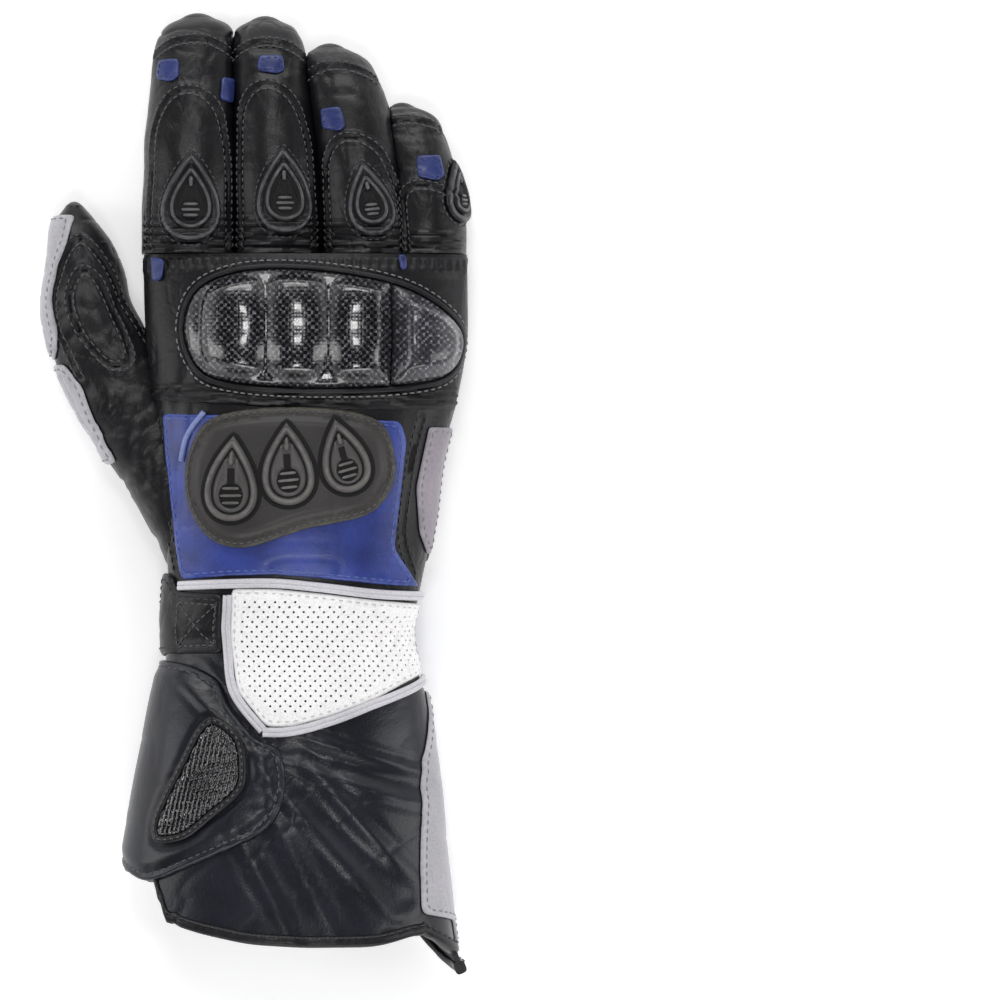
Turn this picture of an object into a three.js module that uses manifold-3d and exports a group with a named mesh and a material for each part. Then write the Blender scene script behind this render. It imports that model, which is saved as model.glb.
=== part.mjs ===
// A long leather motorcycle glove for the right hand, lying palm down.
// Millimetres. +Y runs to the fingertips, +X to the little finger, +Z up from the back of the hand.
import * as THREE from 'three';
import * as BufferGeometryUtils from 'three/addons/utils/BufferGeometryUtils.js';
import Module from 'manifold-3d';

const wasm = await Module();
wasm.setup();

// Driving dimensions of the hand and the gauntlet
const KNUCKLE_WIDTH = 114;
const WRIST_WIDTH = 84.5;
const CUFF_WIDTH = 115;
const HAND_LENGTH = 129.4;
const CUFF_LENGTH = 107;
const KNUCKLE_HEIGHT = 34.5;
const WRIST_HEIGHT = 43;
const CUFF_HEIGHT = 56;

// Driving dimensions of the digits
const INDEX_LENGTH = 83;
const MIDDLE_LENGTH = 82;
const RING_LENGTH = 72.5;
const LITTLE_LENGTH = 52;
const INDEX_WIDTH = 32.4;
const MIDDLE_WIDTH = 30;
const RING_WIDTH = 30.4;
const LITTLE_WIDTH = 26;
const FINGER_DEPTH = 27;
const LITTLE_DEPTH = 25;
const THUMB_LENGTH = 133;
const THUMB_REACH = 34.8;
const THUMB_DEPTH = 29;

// Leather, layers and clearances
const WALL = 2;
const GAP = 0.35;
const PANEL = 1.05;
const STRAP_THICKNESS = 1.7;
const FLAP_THICKNESS = 2.4;
const PAD_THICKNESS = 2.2;
const VENT_THICKNESS = 1.9;
const PIPING_WIDTH = 2.2;
const PIPING_HEIGHT = 1.9;
const HEM_WIDTH = 4;
const RIM_WIDTH = 2.6;
const RIM_HEIGHT = 1.65;
const PLATE_THICKNESS = 2.2;
const DOME_RISE = 6.5;
const DOME_WIDTH = 23;
const DOME_LENGTH = 34;
const VENT_WIDTH = 17;
const VENT_LENGTH = 28;
const SLOT_WIDTH = 1.3;
const POD_WIDTH = 19.5;
const POD_LENGTH = 30;
const POD_THICKNESS = 2;
const ACCENT_WIDTH = 9.5;
const ACCENT_LENGTH = 8;
const ACCENT_THICKNESS = 0.9;
const FOLD_DEPTH = 2;
const FOLD_REACH = 4;
const FLOOR_CLEARANCE = GAP + PANEL;
const SIDE_SEAM = 0.47;

// Colours of the finishes
const BLACK = 0x17161a;
const BLUE = 0x24409c;
const WHITE = 0xe4e4e6;
const SILVER = 0xb4b1b8;
const OLIVE = 0x44433f;
const CARBON = 0x101012;

// One row per section of the hand and gauntlet. along: share of the hand's length above the wrist,
// of the gauntlet's below it; left, right: share of the local width; lift, top: of the local height.
const BODY = [
  { along: -1.18, left: -0.560, right: 0.488, lift: 0.000, top: 0.990 },
  { along: -1.08, left: -0.563, right: 0.457, lift: 0.000, top: 0.999 },
  { along: -1.00, left: -0.563, right: 0.440, lift: 0.000, top: 1.000 },
  { along: -0.81, left: -0.568, right: 0.442, lift: 0.000, top: 1.010 },
  { along: -0.61, left: -0.570, right: 0.447, lift: 0.000, top: 1.011 },
  { along: -0.42, left: -0.569, right: 0.456, lift: 0.005, top: 1.008 },
  { along: -0.23, left: -0.561, right: 0.455, lift: 0.022, top: 0.995 },
  { along: -0.11, left: -0.555, right: 0.434, lift: 0.045, top: 0.975 },
  { along: 0.00, left: -0.574, right: 0.427, lift: 0.056, top: 0.985 },
  { along: 0.08, left: -0.558, right: 0.443, lift: 0.038, top: 1.010 },
  { along: 0.16, left: -0.536, right: 0.454, lift: 0.018, top: 1.045 },
  { along: 0.29, left: -0.531, right: 0.469, lift: 0.000, top: 1.086 },
  { along: 0.45, left: -0.527, right: 0.474, lift: 0.000, top: 1.111 },
  { along: 0.61, left: -0.523, right: 0.506, lift: 0.000, top: 1.111 },
  { along: 0.76, left: -0.518, right: 0.518, lift: 0.041, top: 1.081 },
  { along: 0.88, left: -0.508, right: 0.504, lift: 0.084, top: 1.042 },
  { along: 1.00, left: -0.492, right: 0.486, lift: 0.145, top: 1.000 },
];

// Folds of the leather. Each runs in a straight line between two places given as shares across and
// along the body; depth and reach are shares of the fold's sizes, side tells which face is creased.
const FOLDS = [
  { across: 0.46, along: -0.36, acrossEnd: 0.95, alongEnd: -0.50, depth: 0.95, reach: 1.0, side: 'back' },
  { across: 0.48, along: -0.42, acrossEnd: 0.86, alongEnd: -0.84, depth: 1.10, reach: 1.25, side: 'back' },
  { across: 0.40, along: -0.62, acrossEnd: 0.60, alongEnd: -0.98, depth: 0.80, reach: 1.25, side: 'back' },
  { across: 0.14, along: -0.14, acrossEnd: 0.34, alongEnd: -0.30, depth: 0.60, reach: 0.9, side: 'back' },
  { across: 0.00, along: 0.17, acrossEnd: 1.00, alongEnd: 0.13, depth: 0.80, reach: 0.65, side: 'palm' },
  { across: 0.00, along: 0.09, acrossEnd: 1.00, alongEnd: 0.07, depth: 0.80, reach: 0.65, side: 'palm' },
  { across: 0.10, along: -0.22, acrossEnd: 0.55, alongEnd: -0.34, depth: 0.75, reach: 1.0, side: 'palm' },
];

// One row per section of a finger: share of its length, width and depth.
const FINGER = [
  { along: -0.14, width: 1.02, low: 0.27, top: 1.25 },
  { along: 0.00, width: 1.02, low: 0.22, top: 1.22 },
  { along: 0.20, width: 1.02, low: 0.17, top: 1.17 },
  { along: 0.40, width: 1.00, low: 0.14, top: 1.15 },
  { along: 0.58, width: 0.97, low: 0.08, top: 1.06 },
  { along: 0.73, width: 0.94, low: 0.02, top: 0.97 },
  { along: 0.85, width: 0.90, low: 0.00, top: 0.87 },
  { along: 0.925, width: 0.81, low: 0.00, top: 0.76 },
  { along: 0.97, width: 0.64, low: 0.05, top: 0.63 },
  { along: 1.00, width: 0.34, low: 0.15, top: 0.48 },
];

// bend: sideways drift of the fingertip as a share of the finger's width, root: share of the knuckles.
const DIGITS = [
  { name: 'index', length: INDEX_LENGTH, width: INDEX_WIDTH, depth: FINGER_DEPTH, root: 0.140, bend: 0.07 },
  { name: 'middle', length: MIDDLE_LENGTH, width: MIDDLE_WIDTH, depth: FINGER_DEPTH, root: 0.413, bend: -0.16 },
  { name: 'ring', length: RING_LENGTH, width: RING_WIDTH, depth: FINGER_DEPTH, root: 0.686, bend: -0.42 },
  { name: 'little', length: LITTLE_LENGTH, width: LITTLE_WIDTH, depth: LITTLE_DEPTH, root: 0.880, bend: -0.36 },
];

// One row per section of the thumb. out, inn: distance beyond the hand's left edge, as a share of the reach.
const THUMB = [
  { along: 0.00, out: -0.05, inn: -0.39, low: 0.10, top: 0.88 },
  { along: 0.08, out: 0.04, inn: -0.44, low: 0.05, top: 1.00 },
  { along: 0.18, out: 0.20, inn: -0.51, low: 0.02, top: 1.07 },
  { along: 0.29, out: 0.40, inn: -0.52, low: 0.00, top: 1.07 },
  { along: 0.39, out: 0.62, inn: -0.48, low: 0.00, top: 1.05 },
  { along: 0.49, out: 0.81, inn: -0.37, low: 0.00, top: 1.02 },
  { along: 0.585, out: 0.92, inn: -0.20, low: 0.00, top: 0.98 },
  { along: 0.675, out: 0.99, inn: -0.01, low: 0.00, top: 0.95 },
  { along: 0.755, out: 1.00, inn: 0.14, low: 0.00, top: 0.92 },
  { along: 0.83, out: 0.97, inn: 0.20, low: 0.00, top: 0.87 },
  { along: 0.90, out: 0.94, inn: 0.32, low: 0.02, top: 0.80 },
  { along: 0.95, out: 0.91, inn: 0.47, low: 0.06, top: 0.71 },
  { along: 1.00, out: 0.80, inn: 0.63, low: 0.18, top: 0.54 },
];

const BODY_SIDES = 24;
const DIGIT_SIDES = 12;
const BODY_STATIONS = [
  -1.18, -1.0, -0.84, -0.69, -0.56, -0.44, -0.33, -0.22, -0.11, -0.02, 0.045, 0.08, 0.11, 0.15, 0.2,
  0.3, 0.42, 0.56, 0.7, 0.82, 0.91, 1.0,
];

// Surfaces

// A smooth value between the rows of a table.
function between(rows, column, along) {
  let index = 0;
  while (index < rows.length - 2 && rows[index + 1].along < along) index += 1;
  const slope = (at) => {
    const before = rows[Math.max(at - 1, 0)];
    const after = rows[Math.min(at + 1, rows.length - 1)];
    return (after[column] - before[column]) / (after.along - before.along);
  };
  const start = rows[index];
  const end = rows[index + 1];
  const span = end.along - start.along;
  const s = Math.min(Math.max((along - start.along) / span, 0), 1);
  const eased = s * s * (3 - 2 * s);
  const leaving = s * (1 - s) * (1 - s) * span * slope(index);
  const arriving = s * s * (1 - s) * span * slope(index + 1);
  return start[column] + (end[column] - start[column]) * eased + leaving - arriving;
}

// A closed section in the XZ plane, rounder above its widest line and flattened below it.
function sectionPoint(frame, turn, grow) {
  const middle = (frame.left + frame.right) / 2;
  const half = (frame.right - frame.left) / 2 + grow;
  const waist = frame.low + (frame.top - frame.low) * SIDE_SEAM;
  const cosine = Math.cos(turn);
  const sine = Math.sin(turn);
  const upper = sine >= 0;
  const power = upper ? frame.topPower : frame.lowPower;
  const rise = upper ? frame.top - waist + grow : (waist - frame.low) * frame.flatten + grow;
  const x = middle + half * Math.sign(cosine) * Math.abs(cosine) ** (2 / power);
  const z = waist + rise * Math.sign(sine) * Math.abs(sine) ** (2 / power);
  return [x, Math.max(z, frame.low - grow)];
}

// A closed solid through rings of points, each ring given as [x, y, z] triples.
function loft(rings) {
  const sides = rings[0].length;
  const positions = [];
  const faces = [];
  rings.forEach((ring) => ring.forEach((point) => positions.push(...point)));
  for (let row = 0; row < rings.length - 1; row += 1) {
    for (let side = 0; side < sides; side += 1) {
      const next = (side + 1) % sides;
      const a = row * sides + side;
      const b = row * sides + next;
      const c = (row + 1) * sides + next;
      const d = (row + 1) * sides + side;
      faces.push(a, c, b, a, d, c);
    }
  }
  [0, rings.length - 1].forEach((row) => {
    const centre = new THREE.Vector3();
    rings[row].forEach((point) => centre.add(new THREE.Vector3(...point)));
    centre.divideScalar(sides);
    const hub = positions.length / 3;
    positions.push(centre.x, centre.y, centre.z);
    for (let side = 0; side < sides; side += 1) {
      const a = row * sides + side;
      const b = row * sides + (side + 1) % sides;
      faces.push(...(row === 0 ? [a, b, hub] : [b, a, hub]));
    }
  });
  const geometry = new THREE.BufferGeometry();
  geometry.setAttribute('position', new THREE.Float32BufferAttribute(positions, 3));
  geometry.setIndex(faces);
  return toSolid(geometry);
}

function toSolid(geometry) {
  const bare = geometry.clone();
  bare.deleteAttribute('normal');
  bare.deleteAttribute('uv');
  const merged = BufferGeometryUtils.mergeVertices(bare, 1e-4);
  return new wasm.Manifold(new wasm.Mesh({
    numProp: 3,
    vertProperties: new Float32Array(merged.attributes.position.array),
    triVerts: new Uint32Array(merged.index.array),
  }));
}

function bodyFrame(along) {
  const share = Math.abs(along);
  const width = WRIST_WIDTH + ((along < 0 ? CUFF_WIDTH : KNUCKLE_WIDTH) - WRIST_WIDTH) * share;
  const height = WRIST_HEIGHT + ((along < 0 ? CUFF_HEIGHT : KNUCKLE_HEIGHT) - WRIST_HEIGHT) * share;
  return {
    y: along * (along < 0 ? CUFF_LENGTH : HAND_LENGTH),
    left: between(BODY, 'left', along) * width,
    right: between(BODY, 'right', along) * width,
    low: FLOOR_CLEARANCE + Math.max(between(BODY, 'lift', along), 0) * height,
    top: between(BODY, 'top', along) * height,
    topPower: along < 0 ? 2.2 : 2.35,
    lowPower: 2.6,
    flatten: 1.16,
  };
}

// The plan position of a place on the body given as shares across and along it.
function place(across, along) {
  const frame = bodyFrame(along);
  return new THREE.Vector2(frame.left + (frame.right - frame.left) * across, frame.y);
}

function foldDepth(x, y, upper) {
  return FOLDS.reduce((sum, fold) => {
    if ((fold.side === 'back') !== upper) return sum;
    const start = place(fold.across, fold.along);
    const run = place(fold.acrossEnd, fold.alongEnd).sub(start);
    const offset = new THREE.Vector2(x, y).sub(start);
    const s = Math.min(Math.max(offset.dot(run) / run.lengthSq(), 0), 1);
    const away = offset.sub(run.clone().multiplyScalar(s)).length() / (fold.reach * FOLD_REACH);
    return sum + fold.depth * FOLD_DEPTH * Math.exp(-away * away) * (0.4 + 2.4 * s * (1 - s));
  }, 0);
}

const bodySolids = new Map();

// The hand and gauntlet as one closed form, grown outwards by a distance.
function body(grow) {
  if (!bodySolids.has(grow)) {
    const last = BODY_STATIONS.length - 1;
    const rings = BODY_STATIONS.map((along, row) => {
      const frame = bodyFrame(along);
      const y = frame.y + (row === last ? grow : 0);
      return Array.from({ length: BODY_SIDES }, (_, side) => {
        const turn = ((side + 0.5) / BODY_SIDES) * Math.PI * 2;
        const [x, z] = sectionPoint(frame, turn, grow);
        const upper = Math.sin(turn) >= 0;
        const inward = upper ? -1 : 1;
        const steep = Math.abs(Math.sin(turn));
        return [x, y, z + inward * steep * foldDepth(x, y, upper)];
      });
    });
    bodySolids.set(grow, loft(rings));
  }
  return bodySolids.get(grow);
}

// A finger as one closed form from inside the hand to its tip.
function finger(digit, grow) {
  const root = place(digit.root, 1);
  const rings = FINGER.map((row) => {
    const reach = digit.length + (row.along > 0.5 ? grow : 0);
    const drift = digit.bend * digit.width * Math.max(row.along, 0) ** 2;
    const half = (digit.width * row.width) / 2;
    const frame = {
      left: root.x + drift - half,
      right: root.x + drift + half,
      low: row.low * digit.depth,
      top: row.top * digit.depth,
      topPower: 2.2,
      lowPower: 2.4,
      flatten: 1.06,
    };
    return Array.from({ length: DIGIT_SIDES }, (_, side) => {
      const [x, z] = sectionPoint(frame, ((side + 0.5) / DIGIT_SIDES) * Math.PI * 2, grow);
      return [x, root.y + row.along * reach, z];
    });
  });
  return loft(rings);
}

const THUMB_START = 0.107;

// The thumb with its ball, as one closed form that starts beside the wrist.
function thumb(grow) {
  const start = THUMB_START * HAND_LENGTH;
  const last = THUMB.length - 1;
  const rings = THUMB.map((row, index) => {
    const y = start + row.along * THUMB_LENGTH;
    const edge = bodyFrame(Math.min(y / HAND_LENGTH, 1)).left;
    const frame = {
      left: edge - row.out * THUMB_REACH,
      right: edge - row.inn * THUMB_REACH,
      low: row.low * THUMB_DEPTH,
      top: row.top * THUMB_DEPTH,
      topPower: 2.2,
      lowPower: 2.4,
      flatten: 1.08,
    };
    const beyond = index === last ? grow : 0;
    return Array.from({ length: DIGIT_SIDES }, (_, side) => {
      const [x, z] = sectionPoint(frame, ((side + 0.5) / DIGIT_SIDES) * Math.PI * 2, grow);
      return [x, y + beyond, z];
    });
  });
  return loft(rings);
}

// Cutters

const FAR = 400;
const MID_HEIGHT = SIDE_SEAM * WRIST_HEIGHT;

// A straight prism over a plan outline, between two heights.
function prism(points, low, high) {
  const shape = new THREE.Shape(points);
  const geometry = new THREE.ExtrudeGeometry(shape, { depth: high - low, bevelEnabled: false });
  geometry.translate(0, 0, low);
  return toSolid(geometry);
}

function slab(axis, from, to) {
  const size = new THREE.Vector3(2 * FAR, 2 * FAR, 2 * FAR);
  size[axis] = to - from;
  const geometry = new THREE.BoxGeometry(size.x, size.y, size.z);
  const shift = new THREE.Vector3();
  shift[axis] = (from + to) / 2;
  geometry.translate(shift.x, shift.y, shift.z);
  return toSolid(geometry);
}

const above = (z) => slab('z', z, FAR);
const below = (z) => slab('z', -FAR, z);

// A plan outline through places on the body, drawn with straight or rounded corners.
function outline(shares, rounded = 0) {
  const points = shares.map(([across, along]) => place(across, along));
  return rounded ? smoothOutline(points, rounded) : points;
}

function smoothOutline(points, steps) {
  const around = points.map((point) => new THREE.Vector3(point.x, point.y, 0));
  const curve = new THREE.CatmullRomCurve3(around, true, 'centripetal');
  const count = points.length * steps;
  return curve.getPoints(count).slice(0, count).map((point) => new THREE.Vector2(point.x, point.y));
}

// A plan outline moved outwards by a distance, inwards where it is negative.
function grown(points, distance) {
  const turn = THREE.ShapeUtils.isClockWise(points) ? -1 : 1;
  return points.map((point, index) => {
    const before = points[(index + points.length - 1) % points.length];
    const after = points[(index + 1) % points.length];
    const incoming = point.clone().sub(before).normalize();
    const leaving = after.clone().sub(point).normalize();
    const normal = incoming.add(leaving).normalize();
    const outward = new THREE.Vector2(normal.y, -normal.x).multiplyScalar(turn);
    const across = new THREE.Vector2(leaving.y, -leaving.x).multiplyScalar(turn);
    const stretch = Math.min(1 / Math.max(outward.dot(across), 0.5), 2);
    return point.clone().add(outward.multiplyScalar(distance * stretch));
  });
}

// A narrow strip on both sides of a plan line.
function strip(line, width) {
  const sides = [1, -1].map((sign) => line.map((point, index) => {
    const before = line[Math.max(index - 1, 0)];
    const after = line[Math.min(index + 1, line.length - 1)];
    const along = after.clone().sub(before).normalize();
    return new THREE.Vector2(point.x - along.y * sign * width / 2, point.y + along.x * sign * width / 2);
  }));
  return [...sides[0], ...sides[1].reverse()];
}

function smoothLine(shares, count) {
  const points = shares.map(([across, along]) => place(across, along));
  const curve = new THREE.CatmullRomCurve3(points.map((point) => new THREE.Vector3(point.x, point.y, 0)));
  return curve.getPoints(count).map((point) => new THREE.Vector2(point.x, point.y));
}

// A teardrop in plan: round at its foot, pointed towards the fingertips, leaning by an angle.
function teardrop(centre, width, length, lean, steps = 14) {
  const widest = 0.77;
  return Array.from({ length: steps }, (_, step) => {
    const turn = (step / steps) * Math.PI * 2;
    const x = (Math.sin(turn) * Math.sin(turn / 2)) / widest;
    const point = new THREE.Vector2((x * width) / 2, (Math.cos(turn) * length) / 2);
    return point.rotateAround(new THREE.Vector2(), lean).add(centre);
  });
}

// Layers of the body's surface: [inner distance, outer distance]
const FIRST = [GAP, GAP + PANEL];
const OVER_FIRST = FIRST[1] + GAP;
const layerOf = (solidAt, inner, outer) => solidAt(outer).subtract(solidAt(inner));
const skin = layerOf(body, FIRST[0], FIRST[1]);

const back = (points) => prism(points, MID_HEIGHT, FAR);
const palm = (points) => prism(points, -FAR, MID_HEIGHT);
// A region that goes over the side seam, from a back outline to a palm outline.
const around = (over, under) => back(over).add(prism(under, -FAR, MID_HEIGHT + WALL));

// Pieces

const glove = new THREE.Group();

function finish(color, roughness, metalness = 0) {
  return new THREE.MeshStandardMaterial({ color, roughness, metalness });
}

const leather = () => finish(BLACK, 0.5);

const CRUMB = 0.04;

// Adds a solid as a named piece; of a cut that leaves crumbs, the largest body is kept.
function addPiece(name, solid, material) {
  const bodies = solid.decompose().sort((a, b) => b.volume() - a.volume());
  const mesh = bodies[0].simplify(CRUMB).getMesh();
  const geometry = new THREE.BufferGeometry();
  geometry.setAttribute('position', new THREE.Float32BufferAttribute(mesh.vertProperties, 3));
  geometry.setIndex(Array.from(mesh.triVerts));
  geometry.computeVertexNormals();
  const piece = new THREE.Mesh(geometry, material);
  piece.name = name;
  glove.add(piece);
}

// Hand and gauntlet shells, split along their side seams and at the wrist under the strap
const thumbOuter = thumb(0);
const thumbInner = thumb(-WALL);
const thumbClear = thumb(GAP);
const fingerInners = DIGITS.map((digit) => finger(digit, -WALL));
let shell = body(0).subtract(body(-WALL)).subtract(thumbInner);
fingerInners.forEach((inner) => {
  shell = shell.subtract(inner);
});

// The two hems: the back one is higher, the palm one runs down to a pointed tail.
const HEM_BACK = [
  [-0.30, -0.77], [0.02, -0.775], [0.10, -0.80], [0.128, -0.87], [0.15, -0.925], [0.24, -0.955], [0.40, -0.99],
  [0.56, -1.0], [0.78, -1.0], [0.92, -0.96], [1.01, -1.05], [1.30, -1.05],
];
const HEM_PALM = [
  [-0.30, -0.74], [0.04, -0.74], [0.18, -0.77], [0.33, -0.82], [0.48, -0.88], [0.64, -0.93], [0.83, -0.94],
  [0.91, -0.99], [0.96, -1.07], [1.01, -1.11], [1.30, -1.12],
];

function hemRegion(hem, from, to) {
  const line = hem.map(([across, along]) => place(across, along));
  const shift = (distance) => line.map((point) => new THREE.Vector2(point.x, point.y + distance));
  return [...shift(from), ...shift(to).reverse()];
}

const backOfCuff = back(hemRegion(HEM_BACK, 0, FAR));
const palmOfCuff = palm(hemRegion(HEM_PALM, 0, FAR));
const handRegion = slab('y', GAP / 2, FAR);
const cuffRegion = slab('y', -FAR, -GAP / 2);
const upperHalf = above(MID_HEIGHT + GAP / 2);
const lowerHalf = below(MID_HEIGHT - GAP / 2);
addPiece('hand_back', shell.intersect(handRegion).intersect(upperHalf), leather());
addPiece('hand_palm', shell.intersect(handRegion).intersect(lowerHalf), leather());
const cuffShell = shell.intersect(cuffRegion);
addPiece('cuff_back', cuffShell.intersect(upperHalf).intersect(backOfCuff), leather());
addPiece('cuff_palm', cuffShell.intersect(lowerHalf).intersect(palmOfCuff), leather());

// Fingers: closed tubes side by side, each cut back where the middle or ring finger presses on it
const beyondKnuckles = slab('y', HAND_LENGTH + GAP, FAR);
const PRESSED_BY = { index: 'middle', ring: 'middle', little: 'ring' };
const digitNamed = (name) => DIGITS.find((digit) => digit.name === name);

function fingerSolid(digit, grow) {
  let solid = finger(digit, grow);
  const neighbour = PRESSED_BY[digit.name];
  if (neighbour) solid = solid.subtract(finger(digitNamed(neighbour), GAP - grow));
  return solid;
}

DIGITS.forEach((digit) => {
  const tube = fingerSolid(digit, 0).subtract(fingerSolid(digit, -WALL)).intersect(beyondKnuckles);
  addPiece(`finger_${digit.name}`, tube, leather());
});

addPiece('thumb', thumbOuter.subtract(thumbInner).subtract(body(GAP)), leather());

// The black band across the knuckles, wrapped down both sides
const BAND = [
  [-0.2, 1.0], [1.2, 1.0], [1.2, 0.585], [0.95, 0.585], [0.5, 0.587], [-0.2, 0.615],
];
const band = outline(BAND);
const bandClear = back(grown(band, GAP));
addPiece('knuckle_band', skin.intersect(back(band)).subtract(thumbClear), leather());

// The hard knuckle guard: a rounded plate with four domes, the last a separate segment
const GUARD = [
  [0.135, 0.79], [0.175, 0.895], [0.30, 0.945], [0.62, 0.94], [0.85, 0.885], [0.965, 0.79], [0.95, 0.69],
  [0.84, 0.655], [0.30, 0.655], [0.18, 0.69],
];
const DOMES = [
  { across: 0.29, along: 0.80, width: 1.0, length: 1.0 },
  { across: 0.475, along: 0.805, width: 1.0, length: 1.03 },
  { across: 0.665, along: 0.80, width: 1.0, length: 0.97 },
  { across: 0.85, along: 0.775, width: 0.87, length: 0.76 },
];
const GUARD_SPLIT = 0.765;
const guardBase = OVER_FIRST;
const guardPlate = layerOf(body, guardBase, guardBase + PLATE_THICKNESS).intersect(back(outline(GUARD, 3)));

function dome(row) {
  const centre = place(row.across, row.along);
  const seat = bodyFrame(row.along);
  const side = (row.across - 0.5) * 2;
  const top = MID_HEIGHT + (seat.top - MID_HEIGHT) * (1 - Math.abs(side) ** 2.6) ** 0.45;
  const geometry = new THREE.SphereGeometry(1, 12, 8);
  const height = PLATE_THICKNESS + DOME_RISE + guardBase;
  geometry.scale((row.width * DOME_WIDTH) / 2, (row.length * DOME_LENGTH) / 2, height);
  geometry.translate(centre.x, centre.y, top);
  return toSolid(geometry).subtract(body(guardBase));
}

let guard = guardPlate;
DOMES.forEach((row) => {
  guard = guard.add(dome(row));
});
const splitLine = place(GUARD_SPLIT, 0.79).x;
addPiece('knuckle_guard', guard.intersect(slab('x', -FAR, splitLine - GAP / 2)), finish(CARBON, 0.15));
addPiece('knuckle_guard_end', guard.intersect(slab('x', splitLine + GAP / 2, FAR)), finish(CARBON, 0.2));

// The blue back panel with its ragged right edge
const BLUE_PANEL = [
  [0.045, 0.575], [0.83, 0.555], [0.865, 0.505], [0.87, 0.36], [0.87, 0.22], [0.985, 0.115], [0.85, 0.118],
  [0.61, 0.138], [0.43, 0.148], [0.25, 0.144], [0.065, 0.133], [0.045, 0.24], [0.04, 0.40],
];
const PIPING_LOW = [
  [0.02, 0.118], [0.25, 0.126], [0.43, 0.128], [0.61, 0.117], [0.85, 0.098], [1.06, 0.09],
];
const pipingLow = smoothLine(PIPING_LOW, 16);
const pipingCut = (line) => back(strip(line, PIPING_WIDTH + 2 * GAP));
const bluePanel = skin.intersect(back(outline(BLUE_PANEL))).subtract(bandClear);
addPiece('blue_panel', bluePanel.subtract(pipingCut(pipingLow)).subtract(thumbClear), finish(BLUE, 0.45));

// The padded pod on it, with three teardrop vents
const POD_PAD = [
  [0.215, 0.562], [0.135, 0.478], [0.112, 0.386], [0.134, 0.301], [0.20, 0.24], [0.297, 0.221], [0.536, 0.270],
  [0.77, 0.315], [0.83, 0.38], [0.835, 0.45], [0.755, 0.555],
];
const podBase = OVER_FIRST;
const podPad = layerOf(body, podBase, podBase + PAD_THICKNESS).intersect(back(outline(POD_PAD, 3)));
addPiece('pod_pad', podPad.subtract(bandClear), finish(OLIVE, 0.6));

const VENTS = [
  { across: 0.279, along: 0.402, width: 1.03, length: 1.03, lean: 0.0 },
  { across: 0.47, along: 0.44, width: 1.03, length: 1.0, lean: 0.1 },
  { across: 0.657, along: 0.462, width: 0.92, length: 0.91, lean: 0.3 },
];
const ventBase = podBase + PAD_THICKNESS + GAP;
const VENT_SLOTS = [-0.30, -0.17, -0.04];
const VENT_SLOT_REACH = 0.22;

VENTS.forEach((row, index) => {
  const centre = place(row.across, row.along);
  const width = row.width * VENT_WIDTH;
  const length = row.length * VENT_LENGTH;
  const rim = teardrop(centre, width, length, row.lean);
  const inside = teardrop(centre, width - 2 * RIM_WIDTH, length - 3 * RIM_WIDTH, row.lean);
  const raised = layerOf(body, ventBase, ventBase + VENT_THICKNESS).intersect(back(rim));
  const recess = layerOf(body, ventBase + VENT_THICKNESS / 2, ventBase + 2 * VENT_THICKNESS);
  let vent = raised.subtract(recess.intersect(back(inside)));
  VENT_SLOTS.forEach((share) => {
    const slotHalf = width * VENT_SLOT_REACH;
    const middle = new THREE.Vector2(0, share * length).rotateAround(new THREE.Vector2(), row.lean);
    const reach = new THREE.Vector2(slotHalf, 0).rotateAround(new THREE.Vector2(), row.lean);
    const ends = [centre.clone().add(middle).sub(reach), centre.clone().add(middle).add(reach)];
    vent = vent.subtract(back(strip(ends, SLOT_WIDTH)));
  });
  addPiece(`vent_${index + 1}`, vent, finish(OLIVE, 0.5));
});

// The grey leather panel on the little finger's side of the hand
const GREY_SIDE = [[0.93, 0.545], [1.2, 0.545], [1.2, 0.20], [1.0, 0.20], [0.955, 0.26], [0.925, 0.38]];
addPiece('grey_side_panel', skin.intersect(back(outline(GREY_SIDE))).subtract(bandClear), finish(SILVER, 0.5));

// The white perforated panel across the wrist and the pipings round it
const WHITE_PANEL = [
  [0.275, 0.11], [0.43, 0.112], [0.61, 0.10], [0.85, 0.08], [1.03, 0.075], [1.03, -0.03], [0.985, -0.142],
  [0.81, -0.21], [0.655, -0.262], [0.51, -0.298], [0.41, -0.298], [0.314, -0.197],
];
const PIPING_SIDE = [[0.255, 0.11], [0.262, -0.02], [0.290, -0.19], [0.40, -0.315]];
const PIPING_BOTTOM = [[0.42, -0.318], [0.51, -0.318], [0.66, -0.282], [0.81, -0.232], [1.04, -0.142]];
const pipingSide = smoothLine(PIPING_SIDE, 10);
const pipingBottom = smoothLine(PIPING_BOTTOM, 10);
const pipings = layerOf(body, GAP, GAP + PIPING_HEIGHT);
const sideStrip = back(strip(pipingSide, PIPING_WIDTH));
const whiteCuts = pipingCut(pipingLow).add(pipingCut(pipingSide)).add(pipingCut(pipingBottom));
addPiece('white_wrist_panel', skin.intersect(back(outline(WHITE_PANEL))).subtract(whiteCuts), finish(WHITE, 0.45));
addPiece('piping_blue_white', pipings.intersect(back(strip(pipingLow, PIPING_WIDTH))), finish(SILVER, 0.35));
addPiece('piping_side', pipings.intersect(sideStrip).subtract(pipingCut(pipingLow)), finish(SILVER, 0.35));
addPiece(
  'piping_bottom',
  pipings.intersect(back(strip(pipingBottom, PIPING_WIDTH))).subtract(pipingCut(pipingSide)),
  finish(SILVER, 0.35),
);

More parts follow.
